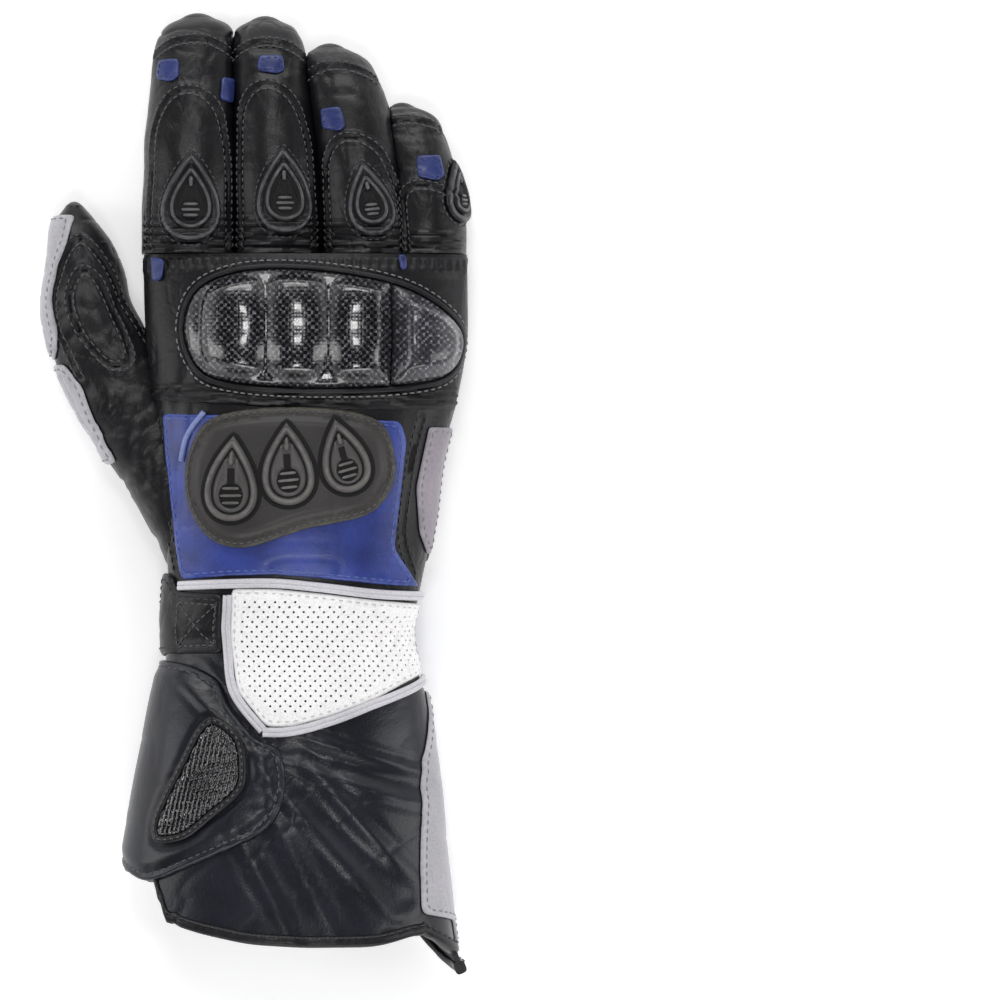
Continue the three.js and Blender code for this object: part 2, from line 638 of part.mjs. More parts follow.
// The wrist strap: from the little finger's edge under the palm and up over the thumb's side
const STRAP_TAB = [[-0.3, 0.15], [0.0, 0.14], [0.03, 0.105], [0.235, 0.10], [0.245, -0.07], [-0.3, -0.075]];
const STRAP_UNDER = [[-0.3, 0.075], [0.93, 0.07], [0.93, -0.09], [-0.3, -0.09]];
const strapRegion = around(outline(STRAP_TAB), outline(STRAP_UNDER));
const strapLayer = layerOf(body, GAP, GAP + STRAP_THICKNESS);
const strapCuts = thumbClear.add(pipingCut(pipingLow)).add(pipingCut(pipingSide));
addPiece('wrist_strap', strapLayer.intersect(strapRegion).subtract(strapCuts), leather());

// The padded closing flap of the gauntlet and its textured insert
const FLAP = [
  [0.10, -0.135], [-0.3, -0.10], [-0.3, -0.74], [0.0, -0.76], [0.075, -0.80], [0.12, -0.79], [0.325, -0.69],
  [0.42, -0.645], [0.48, -0.585], [0.50, -0.48], [0.475, -0.37], [0.385, -0.345], [0.27, -0.235], [0.225, -0.165],
];
const FLAP_UNDER = [[-0.3, -0.12], [0.05, -0.16], [0.07, -0.70], [-0.3, -0.72]];
const flapRegion = around(outline(FLAP), outline(FLAP_UNDER));
const flapSolid = layerOf(body, GAP, GAP + FLAP_THICKNESS).intersect(flapRegion);
addPiece('cuff_flap', flapSolid.subtract(pipingCut(pipingSide)).subtract(pipingCut(pipingBottom)), leather());

const INSERT = [
  [0.235, -0.275], [0.335, -0.335], [0.365, -0.43], [0.36, -0.505], [0.262, -0.605], [0.19, -0.665], [0.105, -0.675],
  [0.088, -0.62], [0.145, -0.42], [0.195, -0.30],
];
const insertBase = GAP + FLAP_THICKNESS + GAP;
const insertEdge = outline(INSERT, 2);
const insertHole = grown(insertEdge, -RIM_WIDTH);
const insertMesh = grown(insertEdge, -RIM_WIDTH - GAP);
const insertLayer = layerOf(body, insertBase, insertBase + RIM_HEIGHT);
addPiece('insert_rim', insertLayer.intersect(back(insertEdge)).subtract(back(insertHole)), leather());
const meshLayer = layerOf(body, insertBase, insertBase + PANEL);
addPiece('insert_mesh', meshLayer.intersect(back(insertMesh)), finish(CARBON, 0.3));

// The silver panel round the little finger's side of the gauntlet
const SILVER_PALM = [
  [0.635, -0.25], [0.66, -0.215], [0.83, -0.20], [1.2, -0.20], [1.2, -1.06], [0.98, -1.02], [0.92, -0.95],
  [0.80, -0.86], [0.645, -0.765], [0.62, -0.68],
];
const SILVER_BACK = [[1.2, -0.21], [1.02, -0.235], [0.955, -0.42], [0.925, -0.71], [0.915, -0.90], [1.2, -1.02]];
const silverRegion = around(outline(SILVER_BACK), outline(SILVER_PALM));
const silver = skin.intersect(silverRegion).subtract(pipingCut(pipingBottom));

// Hem bindings along both edges of the cuff's mouth
const hemBack = back(hemRegion(HEM_BACK, 0, HEM_WIDTH));
const hemPalm = palm(hemRegion(HEM_PALM, 0, HEM_WIDTH));
const hemWide = (hem) => hemRegion(hem, -GAP, HEM_WIDTH + GAP);
const hemClear = around(hemWide(HEM_BACK), hemWide(HEM_PALM));
const flapClear = around(grown(outline(FLAP), GAP), grown(outline(FLAP_UNDER), GAP));
addPiece('cuff_side_panel', silver.subtract(hemClear), finish(SILVER, 0.4));
addPiece('hem_back', skin.intersect(hemBack).intersect(upperHalf).subtract(flapClear), leather());
addPiece('hem_palm', skin.intersect(hemPalm).intersect(lowerHalf).subtract(flapClear), leather());

// Palm side: the patch across the finger roots and the heel patch that the glove rests on
const PALM_PATCH = [
  [0.81, 0.82], [0.78, 0.76], [0.575, 0.715], [0.34, 0.672], [0.13, 0.587], [0.02, 0.575], [0.01, 0.88],
  [0.08, 0.935], [0.38, 0.93], [0.58, 0.905], [0.715, 0.865],
];
const HEEL_PATCH = [[0.40, 0.56], [0.80, 0.60], [0.90, 0.45], [0.86, 0.25], [0.60, 0.20], [0.44, 0.28], [0.46, 0.42]];
addPiece('palm_patch', skin.intersect(palm(outline(PALM_PATCH))).subtract(thumbClear), leather());
addPiece('heel_patch', skin.intersect(palm(outline(HEEL_PATCH, 2))), leather());

// The abrasion slider let into the little finger's side
const SLIDER = [[1.2, 0.45], [0.965, 0.44], [0.935, 0.18], [1.2, 0.17]];
const SLIDER_LOW = 0.45;
const sliderLow = MID_HEIGHT * SLIDER_LOW;
const sliderLayer = layerOf(body, GAP, GAP + PANEL).intersect(slab('z', sliderLow, MID_HEIGHT - 2 * GAP));
addPiece('side_slider', sliderLayer.intersect(prism(outline(SLIDER), sliderLow, MID_HEIGHT)), finish(BLACK, 0.35));

// Grey panels on the outer side of the thumb
const thumbSkin = layerOf(thumb, GAP, GAP + PANEL);

function thumbRegion(rows) {
  const inner = rows.map(([along, inset]) => {
    const y = THUMB_START * HAND_LENGTH + along * THUMB_LENGTH;
    const edge = bodyFrame(Math.min(y / HAND_LENGTH, 1)).left;
    return new THREE.Vector2(edge - THUMB_REACH * (between(THUMB, 'out', along) - inset), y);
  });
  const outer = inner.map((point) => new THREE.Vector2(point.x - THUMB_REACH, point.y)).reverse();
  return [...inner, ...outer];
}

// along: share of the thumb's length, inset: share of its reach
const GREY_TIP = [[0.60, 0.03], [0.66, 0.13], [0.76, 0.10], [0.84, 0.13], [0.90, 0.19], [0.99, 0.19]];
const GREY_BALL = [[0.33, 0.09], [0.40, 0.12], [0.46, 0.17], [0.53, 0.20], [0.585, 0.10]];
const THUMB_PANEL_LOW = 0.12;
const aroundThumb = (points) => prism(points, THUMB_DEPTH * THUMB_PANEL_LOW, FAR);
addPiece('thumb_grey_tip', thumbSkin.intersect(aroundThumb(thumbRegion(GREY_TIP))), finish(SILVER, 0.45));
addPiece('thumb_grey_ball', thumbSkin.intersect(aroundThumb(thumbRegion(GREY_BALL))), finish(SILVER, 0.45));

// Raised teardrop pods on the fingers and small blue accents beside them
const PODS = [
  { digit: 'index', along: 0.235, shift: 0.03, width: 1.0, length: 1.0, lean: 0 },
  { digit: 'middle', along: 0.265, shift: 0.13, width: 0.95, length: 0.97, lean: 0 },
  { digit: 'ring', along: 0.26, shift: 0.12, width: 0.8, length: 0.83, lean: 0.1 },
];
const ACCENTS = [
  { name: 'accent_index', digit: 'index', along: 0.765, shift: -0.27, width: 0.95, length: 1.0 },
  { name: 'accent_middle', digit: 'middle', along: 0.80, shift: 0.03, width: 1.0, length: 0.81 },
  { name: 'accent_ring', digit: 'ring', along: 0.64, shift: -0.20, width: 0.9, length: 1.06 },
  { name: 'accent_little', digit: 'little', along: 0.57, shift: 0.14, width: 1.0, length: 1.12 },
];
const FINGER_WAIST = 0.55;
const FINGER_MID = FINGER_DEPTH * FINGER_WAIST;

function onFinger(row) {
  const digit = digitNamed(row.digit);
  const root = place(digit.root, 1);
  const drift = digit.bend * digit.width * row.along ** 2;
  return new THREE.Vector2(root.x + drift + row.shift * digit.width, root.y + row.along * digit.length);
}

function fingerLayer(row, thickness) {
  const digit = digitNamed(row.digit);
  const layer = finger(digit, GAP + thickness).subtract(finger(digit, GAP)).intersect(above(FINGER_MID));
  const others = DIGITS.filter((other) => other.name !== row.digit);
  return others.reduce((solid, other) => solid.subtract(finger(other, GAP)), layer);
}

// The little finger's pod sits on its outer side, drawn as a teardrop in the YZ plane.
const SIDE_POD = { digit: 'little', along: 0.42, shift: 0.5, width: 0.77, length: 0.73, lean: 0 };
const SIDE_POD_HEIGHT = 0.62;

function sidePrism(points, centreHeight) {
  const geometry = new THREE.ExtrudeGeometry(new THREE.Shape(points), { depth: FAR, bevelEnabled: false });
  geometry.rotateY(Math.PI / 2);
  geometry.translate(0, 0, centreHeight);
  return toSolid(geometry);
}

function sidePod(row) {
  const at = onFinger(row);
  const digit = digitNamed(row.digit);
  const drop = teardrop(new THREE.Vector2(0, at.y), row.width * POD_WIDTH, row.length * POD_LENGTH, row.lean);
  const outerSide = slab('x', at.x - (row.width * POD_WIDTH) / 2, FAR);
  const layer = finger(digit, GAP + POD_THICKNESS).subtract(finger(digit, GAP));
  return layer.intersect(sidePrism(drop, SIDE_POD_HEIGHT * digit.depth)).intersect(outerSide);
}

addPiece('pod_little', sidePod(SIDE_POD), leather());

PODS.forEach((row) => {
  const drop = back(teardrop(onFinger(row), row.width * POD_WIDTH, row.length * POD_LENGTH, row.lean));
  const pod = fingerLayer(row, POD_THICKNESS).intersect(drop).intersect(slab('y', HAND_LENGTH + GAP, FAR));
  addPiece(`pod_${row.digit}`, pod, leather());
});

ACCENTS.forEach((row) => {
  const at = onFinger(row);
  const half = new THREE.Vector2((row.width * ACCENT_WIDTH) / 2, (row.length * ACCENT_LENGTH) / 2);
  const corners = [[-1, -0.7], [0.4, -1], [1, -0.6], [0.9, 1], [-0.8, 0.9]];
  const tab = corners.map(([x, y]) => new THREE.Vector2(at.x + x * half.x, at.y + y * half.y));
  addPiece(row.name, fingerLayer(row, ACCENT_THICKNESS).intersect(back(tab)), finish(BLUE, 0.45));
});

// The origin stands at the middle of the glove's outline, on the surface that it rests on.
const extent = new THREE.Box3().setFromObject(glove);
const centre = extent.getCenter(new THREE.Vector3());
glove.position.set(-centre.x, -centre.y, -extent.min.z);

export default glove;
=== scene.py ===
"""A long leather motorcycle glove for the right hand, lying palm down.

Forms are worked out in the maker's millimetres, with the wrist's middle at zero, and written to the
meshes in metres in the shared frame.
"""
import math

import bpy
import numpy as np
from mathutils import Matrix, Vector
from mathutils.geometry import delaunay_2d_cdt


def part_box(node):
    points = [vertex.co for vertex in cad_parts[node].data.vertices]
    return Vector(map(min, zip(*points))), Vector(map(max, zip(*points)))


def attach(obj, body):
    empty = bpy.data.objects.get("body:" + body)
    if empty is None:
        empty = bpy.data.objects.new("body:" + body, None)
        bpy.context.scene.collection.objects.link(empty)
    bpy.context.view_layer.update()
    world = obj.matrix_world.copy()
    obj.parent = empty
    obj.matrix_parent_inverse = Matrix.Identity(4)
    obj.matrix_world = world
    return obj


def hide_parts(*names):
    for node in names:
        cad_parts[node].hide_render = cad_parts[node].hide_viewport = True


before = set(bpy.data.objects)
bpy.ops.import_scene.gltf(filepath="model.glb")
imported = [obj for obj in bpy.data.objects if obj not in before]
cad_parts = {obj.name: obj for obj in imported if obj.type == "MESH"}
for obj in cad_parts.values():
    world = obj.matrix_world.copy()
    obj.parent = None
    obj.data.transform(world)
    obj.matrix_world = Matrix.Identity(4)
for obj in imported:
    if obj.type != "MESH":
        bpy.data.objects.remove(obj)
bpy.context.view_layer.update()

FINENESS = 1.0

# Sizes of the hand, the gauntlet and the digits, in millimetres
KNUCKLE_WIDTH = 114
WRIST_WIDTH = 84.5
CUFF_WIDTH = 115
HAND_LENGTH = 129.4
CUFF_LENGTH = 107
KNUCKLE_HEIGHT = 34.5
WRIST_HEIGHT = 43
CUFF_HEIGHT = 56
FINGER_DEPTH = 27
LITTLE_DEPTH = 25
THUMB_LENGTH = 133
THUMB_REACH = 34.8
THUMB_DEPTH = 29
THUMB_START = 0.107

WALL = 2.0
GAP = 0.35
PANEL = 1.05
STRAP_THICKNESS = 1.7
FLAP_THICKNESS = 2.4
PAD_THICKNESS = 2.2
VENT_THICKNESS = 1.9
RIM_WIDTH = 2.6
RIM_HEIGHT = 1.65
PLATE_THICKNESS = 2.2
DOME_RISE = 6.5
VENT_WIDTH = 17
VENT_LENGTH = 28
POD_WIDTH = 19.5
POD_LENGTH = 30
POD_THICKNESS = 2.0
ACCENT_WIDTH = 9.5
ACCENT_LENGTH = 8
ACCENT_THICKNESS = 0.9
FOLD_DEPTH = 2.0
FOLD_REACH = 4.0
SIDE_SEAM = 0.47
FLOOR_CLEARANCE = GAP + PANEL
LAYER = GAP + PANEL + GAP
MILLIMETRE = 0.001

# The wrist's middle in the shared frame: the hand's last section stands at the hand's length.
HAND_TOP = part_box("hand_back")[1]
WRIST_MIDDLE_X = 17.555
ORIGIN = np.array([WRIST_MIDDLE_X, HAND_TOP.y / MILLIMETRE - HAND_LENGTH, 0.0])

# Sections of the hand and gauntlet: along, left, right, lift, top
BODY_ROWS = np.array([
    (-1.18, -0.560, 0.488, 0.000, 0.990),
    (-1.08, -0.563, 0.457, 0.000, 0.999),
    (-1.00, -0.563, 0.440, 0.000, 1.000),
    (-0.81, -0.568, 0.442, 0.000, 1.010),
    (-0.61, -0.570, 0.447, 0.000, 1.011),
    (-0.42, -0.569, 0.456, 0.005, 1.008),
    (-0.23, -0.561, 0.455, 0.022, 0.995),
    (-0.11, -0.555, 0.434, 0.045, 0.975),
    (0.00, -0.574, 0.427, 0.056, 0.985),
    (0.08, -0.558, 0.443, 0.038, 1.010),
    (0.16, -0.536, 0.454, 0.018, 1.045),
    (0.29, -0.531, 0.469, 0.000, 1.086),
    (0.45, -0.527, 0.474, 0.000, 1.111),
    (0.61, -0.523, 0.506, 0.000, 1.111),
    (0.76, -0.518, 0.518, 0.041, 1.081),
    (0.88, -0.508, 0.504, 0.084, 1.042),
    (1.00, -0.492, 0.486, 0.145, 1.000),
])

# Sections of a finger: along, width, low, top
FINGER_ROWS = np.array([
    (-0.14, 1.02, 0.27, 1.25),
    (0.00, 1.02, 0.22, 1.22),
    (0.20, 1.02, 0.17, 1.17),
    (0.40, 1.00, 0.14, 1.15),
    (0.58, 0.97, 0.08, 1.06),
    (0.73, 0.94, 0.02, 0.97),
    (0.85, 0.90, 0.00, 0.87),
    (0.925, 0.81, 0.00, 0.76),
    (0.97, 0.64, 0.05, 0.63),
    (1.00, 0.34, 0.15, 0.48),
])

# Sections of the thumb: along, out, inn, low, top
THUMB_ROWS = np.array([
    (0.00, -0.05, -0.39, 0.10, 0.88),
    (0.08, 0.04, -0.44, 0.05, 1.00),
    (0.18, 0.20, -0.51, 0.02, 1.07),
    (0.29, 0.40, -0.52, 0.00, 1.07),
    (0.39, 0.62, -0.48, 0.00, 1.05),
    (0.49, 0.81, -0.37, 0.00, 1.02),
    (0.585, 0.92, -0.20, 0.00, 0.98),
    (0.675, 0.99, -0.01, 0.00, 0.95),
    (0.755, 1.00, 0.14, 0.00, 0.92),
    (0.83, 0.97, 0.20, 0.00, 0.87),
    (0.90, 0.94, 0.32, 0.02, 0.80),
    (0.95, 0.91, 0.47, 0.06, 0.71),
    (1.00, 0.80, 0.63, 0.18, 0.54),
])

DIGITS = {
    "index": dict(length=83, width=32.4, depth=FINGER_DEPTH, root=0.140, bend=0.07),
    "middle": dict(length=82, width=30, depth=FINGER_DEPTH, root=0.413, bend=-0.16),
    "ring": dict(length=72.5, width=30.4, depth=FINGER_DEPTH, root=0.686, bend=-0.42),
    "little": dict(length=52, width=26, depth=LITTLE_DEPTH, root=0.880, bend=-0.36),
}
PRESSED_BY = {"index": ("middle", -1), "ring": ("middle", 1), "little": ("ring", 1)}

# Folds: across, along, across at the end, along at the end, depth, reach, face (1 back, -1 palm)
FOLDS = np.array([
    (0.46, -0.36, 0.95, -0.50, 0.95, 1.0, 1),
    (0.48, -0.42, 0.86, -0.84, 1.10, 1.25, 1),
    (0.40, -0.62, 0.60, -0.98, 0.80, 1.25, 1),
    (0.14, -0.14, 0.34, -0.30, 0.60, 0.9, 1),
    (0.00, 0.17, 1.00, 0.13, 0.80, 0.65, -1),
    (0.00, 0.09, 1.00, 0.07, 0.80, 0.65, -1),
    (0.10, -0.22, 0.55, -0.34, 0.75, 1.0, -1),
])


# Smooth values, noise and plan helpers

NEAREST_SHARE = 0.93


def smooth_rows(rows, along, column):
    """A smooth value between a table's rows; the first column holds the places along."""
    places = rows[:, 0]
    values = rows[:, column]
    slopes = np.empty(len(places))
    slopes[1:-1] = (values[2:] - values[:-2]) / (places[2:] - places[:-2])
    slopes[0] = (values[1] - values[0]) / (places[1] - places[0])
    slopes[-1] = (values[-1] - values[-2]) / (places[-1] - places[-2])
    at = np.clip(np.searchsorted(places, along, side="right") - 1, 0, len(places) - 2)
    span = places[at + 1] - places[at]
    s = np.clip((along - places[at]) / span, 0, 1)
    eased = s * s * (3 - 2 * s)
    leaving = s * (1 - s) ** 2 * span * slopes[at]
    arriving = s * s * (1 - s) * span * slopes[at + 1]
    return values[at] + (values[at + 1] - values[at]) * eased + leaving - arriving


def smooth_step(low, high, value):
    s = np.clip((value - low) / (high - low), 0, 1)
    return s * s * (3 - 2 * s)


def bump(distance, reach):
    return np.exp(-(distance / reach) ** 2)


def lattice_hash(x, y, z, seed):
    mixed = (x * 374761393 + y * 668265263 + z * 2147483647 + seed * 974634777) & 0xFFFFFFFF
    mixed = ((mixed ^ (mixed >> 13)) * 1274126177) & 0xFFFFFFFF
    return ((mixed ^ (mixed >> 16)) & 0xFFFF) / 32767.5 - 1.0


def noise(points, size, seed=1):
    """Smooth value noise from -1 to 1 over points of shape (n, 3), with cells of the given size."""
    scaled = points / size
    cell = np.floor(scaled).astype(np.int64)
    s = scaled - cell
    s = s * s * s * (s * (6 * s - 15) + 10)
    total = np.zeros(len(points))
    for dx in (0, 1):
        for dy in (0, 1):
            for dz in (0, 1):
                weight = (
                    np.where(dx, s[:, 0], 1 - s[:, 0])
                    * np.where(dy, s[:, 1], 1 - s[:, 1])
                    * np.where(dz, s[:, 2], 1 - s[:, 2])
                )
                total += weight * lattice_hash(cell[:, 0] + dx, cell[:, 1] + dy, cell[:, 2] + dz, seed)
    return total


def creases(points, size, seed, sharpness=5.0):
    """Narrow valleys, 0 on the leather and down to -1 in a crease."""
    ridge = 1 - np.abs(noise(points, size, seed))
    return -np.clip(ridge, 0, 1) ** (sharpness * 2)


def to_line(points, line, closed=False):
    """Distance of plan points to a polyline, and the share of the way along it."""
    starts = line if closed else line[:-1]
    ends = np.roll(line, -1, axis=0) if closed else line[1:]
    best = np.full(len(points), 1e9)
    where = np.zeros(len(points))
    count = len(starts)
    for index in range(count):
        run = ends[index] - starts[index]
        offset = points - starts[index]
        s = np.clip(offset @ run / max(run @ run, 1e-9), 0, 1)
        away = np.hypot(*(offset - s[:, None] * run).T)
        nearer = away < best
        best = np.where(nearer, away, best)
        where = np.where(nearer, (index + s) / count, where)
    return best, where


def unit(vectors):
    return vectors / np.maximum(np.linalg.norm(vectors, axis=1), 1e-9)[:, None]


def inside(points, loop):
    result = np.zeros(len(points), bool)
    before = np.roll(loop, 1, axis=0)
    for (x0, y0), (x1, y1) in zip(before, loop):
        if y0 == y1:
            continue
        crosses = (y0 > points[:, 1]) != (y1 > points[:, 1])
        at = x0 + (points[:, 1] - y0) * (x1 - x0) / (y1 - y0)
        result ^= crosses & (points[:, 0] < at)
    return result


def resample(line, step, closed=False):
    """Points at even steps along a polyline."""
    points = np.vstack([line, line[:1]]) if closed else line
    lengths = np.hypot(*np.diff(points, axis=0).T) if points.shape[1] == 2 else np.linalg.norm(
        np.diff(points, axis=0), axis=1)
    along = np.concatenate([[0], np.cumsum(lengths)])
    count = max(int(round(along[-1] / step)), 3)
    places = np.linspace(0, along[-1], count + 1)
    result = np.column_stack([np.interp(places, along, points[:, k]) for k in range(points.shape[1])])
    return result[:-1] if closed else result


def rounded(points, closed=True, steps=10):
    """A centripetal curve through the points."""
    count = len(points)
    result = []
    spans = count if closed else count - 1
    for index in range(spans):
        around = [points[(index + k) % count] if closed else points[min(max(index + k, 0), count - 1)]
                  for k in (-1, 0, 1, 2)]
        p0, p1, p2, p3 = [np.asarray(p, float) for p in around]
        d1 = max(np.linalg.norm(p2 - p1) ** 0.5, 1e-6)
        d0 = max(np.linalg.norm(p1 - p0) ** 0.5, 1e-6) if np.any(p0 != p1) else d1
        d2 = max(np.linalg.norm(p3 - p2) ** 0.5, 1e-6) if np.any(p3 != p2) else d1
        m1 = (p2 - p1) - (p2 - p0) * d1 / (d0 + d1) + (p1 - p0) * d1 / d0 if d0 else p2 - p1
        m2 = (p2 - p1) - (p3 - p1) * d1 / (d1 + d2) + (p3 - p2) * d1 / d2
        for s in np.arange(steps) / steps:
            h1 = 2 * s ** 3 - 3 * s ** 2 + 1
            h2 = s ** 3 - 2 * s ** 2 + s
            h3 = -2 * s ** 3 + 3 * s ** 2
            h4 = s ** 3 - s ** 2
            result.append(h1 * p1 + h2 * m1 + h3 * p2 + h4 * m2)
    if not closed:
        result.append(np.asarray(points[-1], float))
    return np.array(result)


def soften(loop, radius, step=0.6):
    """Rounds the corners of a closed outline."""
    fine = resample(loop, step, closed=True)
    width = max(int(radius / step), 1)
    kernel = np.ones(2 * width + 1) / (2 * width + 1)
    padded = np.vstack([fine[-2 * width:], fine, fine[:2 * width]])
    for _ in range(2):
        padded = np.column_stack([np.convolve(padded[:, k], kernel, mode="same") for k in (0, 1)])
    return padded[2 * width:-2 * width]


def loop_area(loop):
    """Twice the area of a closed outline, negative if it runs clockwise."""
    return np.sum(loop[:, 0] * np.roll(loop[:, 1], -1) - np.roll(loop[:, 0], -1) * loop[:, 1])


def grown_loop(loop, distance):
    """A closed outline moved outwards, without the stretches that fall too near the old one."""
    run = unit(np.roll(loop, -1, axis=0) - np.roll(loop, 1, axis=0))
    normal = np.column_stack([run[:, 1], -run[:, 0]]) * np.sign(loop_area(loop))
    moved = loop + normal * distance
    away, _ = to_line(moved, loop, closed=True)
    return moved[away > NEAREST_SHARE * abs(distance)]


def inset(loop, distance):
    """The line at a distance inside a closed outline."""
    return grown_loop(loop, -distance)


def turned(points, angle):
    """Flat points turned about their origin."""
    c, s = math.cos(angle), math.sin(angle)
    return np.column_stack([points[:, 0] * c - points[:, 1] * s, points[:, 0] * s + points[:, 1] * c])


# Surfaces of leather

TURNS = np.linspace(-2 * math.pi, 2 * math.pi, 1441)


def looked_up(table, row, column):
    """Values between a table's cells."""
    row = np.clip(row, 0, len(table) - 1.001)
    column = np.clip(column, 0, table.shape[1] - 1.001)
    r, c = row.astype(int), column.astype(int)
    fr, fc = row - r, column - c
    upper = table[r, c] * (1 - fc) + table[r, c + 1] * fc
    lower = table[r + 1, c] * (1 - fc) + table[r + 1, c + 1] * fc
    return upper * (1 - fr) + lower * fr


class Surface:
    """A stuffed leather tube along +Y. A place on it is (w, y): w is the girth's length in
    millimetres from the top line, positive to the little finger's side."""

    def __init__(self, y, left, right, low, top, top_power, low_power, flatten, relief=None):
        self.y = y
        self.sections = (left, right, low, top)
        self.powers = (top_power, low_power, flatten)
        self.relief = relief
        self.press = None
        self.seams = []
        grid_y = np.repeat(y[:, None], len(TURNS), axis=1)
        grid_a = np.repeat(TURNS[None, :], len(y), axis=0)
        points = self.skin(grid_a.ravel(), grid_y.ravel()).reshape(len(y), len(TURNS), 3)
        steps = np.linalg.norm(np.diff(points[:, :, [0, 2]], axis=1), axis=2)
        girth = np.concatenate([np.zeros((len(y), 1)), np.cumsum(steps, axis=1)], axis=1)
        self.girth = girth - girth[:, [len(TURNS) // 2]]
        self.reach = np.linspace(self.girth.min(), self.girth.max(), 1200)
        self.angles = np.array([np.interp(self.reach, row, TURNS) for row in self.girth])

    def section(self, y):
        return [np.interp(y, self.y, values) for values in self.sections]

    def power(self, index, y):
        values = self.powers[index]
        return np.interp(y, self.y, values) if np.ndim(values) else values

    def skin(self, angle, y):
        """Points of the plain form: angle 0 is the top line, half pi the little finger's side."""
        left, right, low, top = self.section(y)
        top_power, low_power, flatten = [self.power(index, y) for index in range(3)]
        middle = (left + right) / 2
        half = (right - left) / 2
        waist = low + (top - low) * SIDE_SEAM
        sine = np.cos(angle)
        cosine = np.sin(angle)
        upper = sine >= 0
        power = np.where(upper, top_power, low_power)
        rise = np.where(upper, top - waist, (waist - low) * flatten)
        x = middle + half * np.sign(cosine) * np.abs(cosine) ** (2 / power)
        z = waist + rise * np.sign(sine) * np.abs(sine) ** (2 / power)
        return np.column_stack([x, y, np.maximum(z, low)])

    def normals(self, angle, y):
        step_a, step_y = 0.02, 0.8
        run_a = self.skin(angle + step_a, y) - self.skin(angle - step_a, y)
        run_y = self.skin(angle, y + step_y) - self.skin(angle, y - step_y)
        return unit(-np.cross(run_y, run_a))

    def place(self, angle, y, height):
        """Points at a height above the leather, which carries its folds along."""
        flat = self.skin(angle, y)
        normal = self.normals(angle, y)
        lift = np.zeros(len(flat)) if self.relief is None else self.relief(self, flat, angle, y)
        settled = flat + normal * (height + lift)[:, None]
        return self.press(settled, height) if self.press else settled

    def angle_at(self, w, y):
        """The angle for a girth length."""
        row = np.interp(y, self.y, np.arange(len(self.y)))
        return looked_up(self.angles, row, np.interp(w, self.reach, np.arange(len(self.reach))))

    def girth_at(self, angle, y):
        row = np.interp(y, self.y, np.arange(len(self.y)))
        return looked_up(self.girth, row, np.interp(angle, TURNS, np.arange(len(TURNS))))

    def at(self, flat, height):
        """Points for places (w, y)."""
        return self.place(self.angle_at(flat[:, 0], flat[:, 1]), flat[:, 1], height)

    def unroll(self, plan, side="back"):
        """Places (w, y) under or over plan points (x, y)."""
        x, y = plan[:, 0], plan[:, 1]
        left, right, _, _ = self.section(y)
        share = np.clip((x - (left + right) / 2) / ((right - left) / 2), -1, 1)
        power = self.power(0 if side == "back" else 1, y)
        across = np.arcsin(np.sign(share) * np.abs(share) ** (power / 2))
        angle = across if side == "back" else math.pi - across
        if side == "palm_left":
            angle = angle - 2 * math.pi
        return np.column_stack([self.girth_at(angle, y), y])


def body_sizes(along):
    share = np.abs(along)
    width = WRIST_WIDTH + (np.where(along < 0, CUFF_WIDTH, KNUCKLE_WIDTH) - WRIST_WIDTH) * share
    height = WRIST_HEIGHT + (np.where(along < 0, CUFF_HEIGHT, KNUCKLE_HEIGHT) - WRIST_HEIGHT) * share
    return width, height


def along_to_y(along):
    return along * np.where(np.asarray(along) < 0, CUFF_LENGTH, HAND_LENGTH)


def edges_at(along):
    along = np.asarray(along, float)
    width, _ = body_sizes(along)
    return smooth_rows(BODY_ROWS, along, 1) * width, smooth_rows(BODY_ROWS, along, 2) * width


def spot(across, along):
    """Plan point for shares across and along the body."""
    left, right = edges_at(along)
    return np.array([left + (right - left) * across, along_to_y(along)], float)


def plan(rows, density=1.2):
    """Plan outline through shares of the body, with extra points on its straight stretches."""
    return resample(np.array([spot(row[0], row[1]) for row in rows]), density, closed=True)


FOLD_STARTS = [spot(row[0], row[1]) for row in FOLDS]
FOLD_ENDS = [spot(row[2], row[3]) for row in FOLDS]


# Seams pressed into the hand's leather: places (w, y), depth
BODY_SEAMS = []


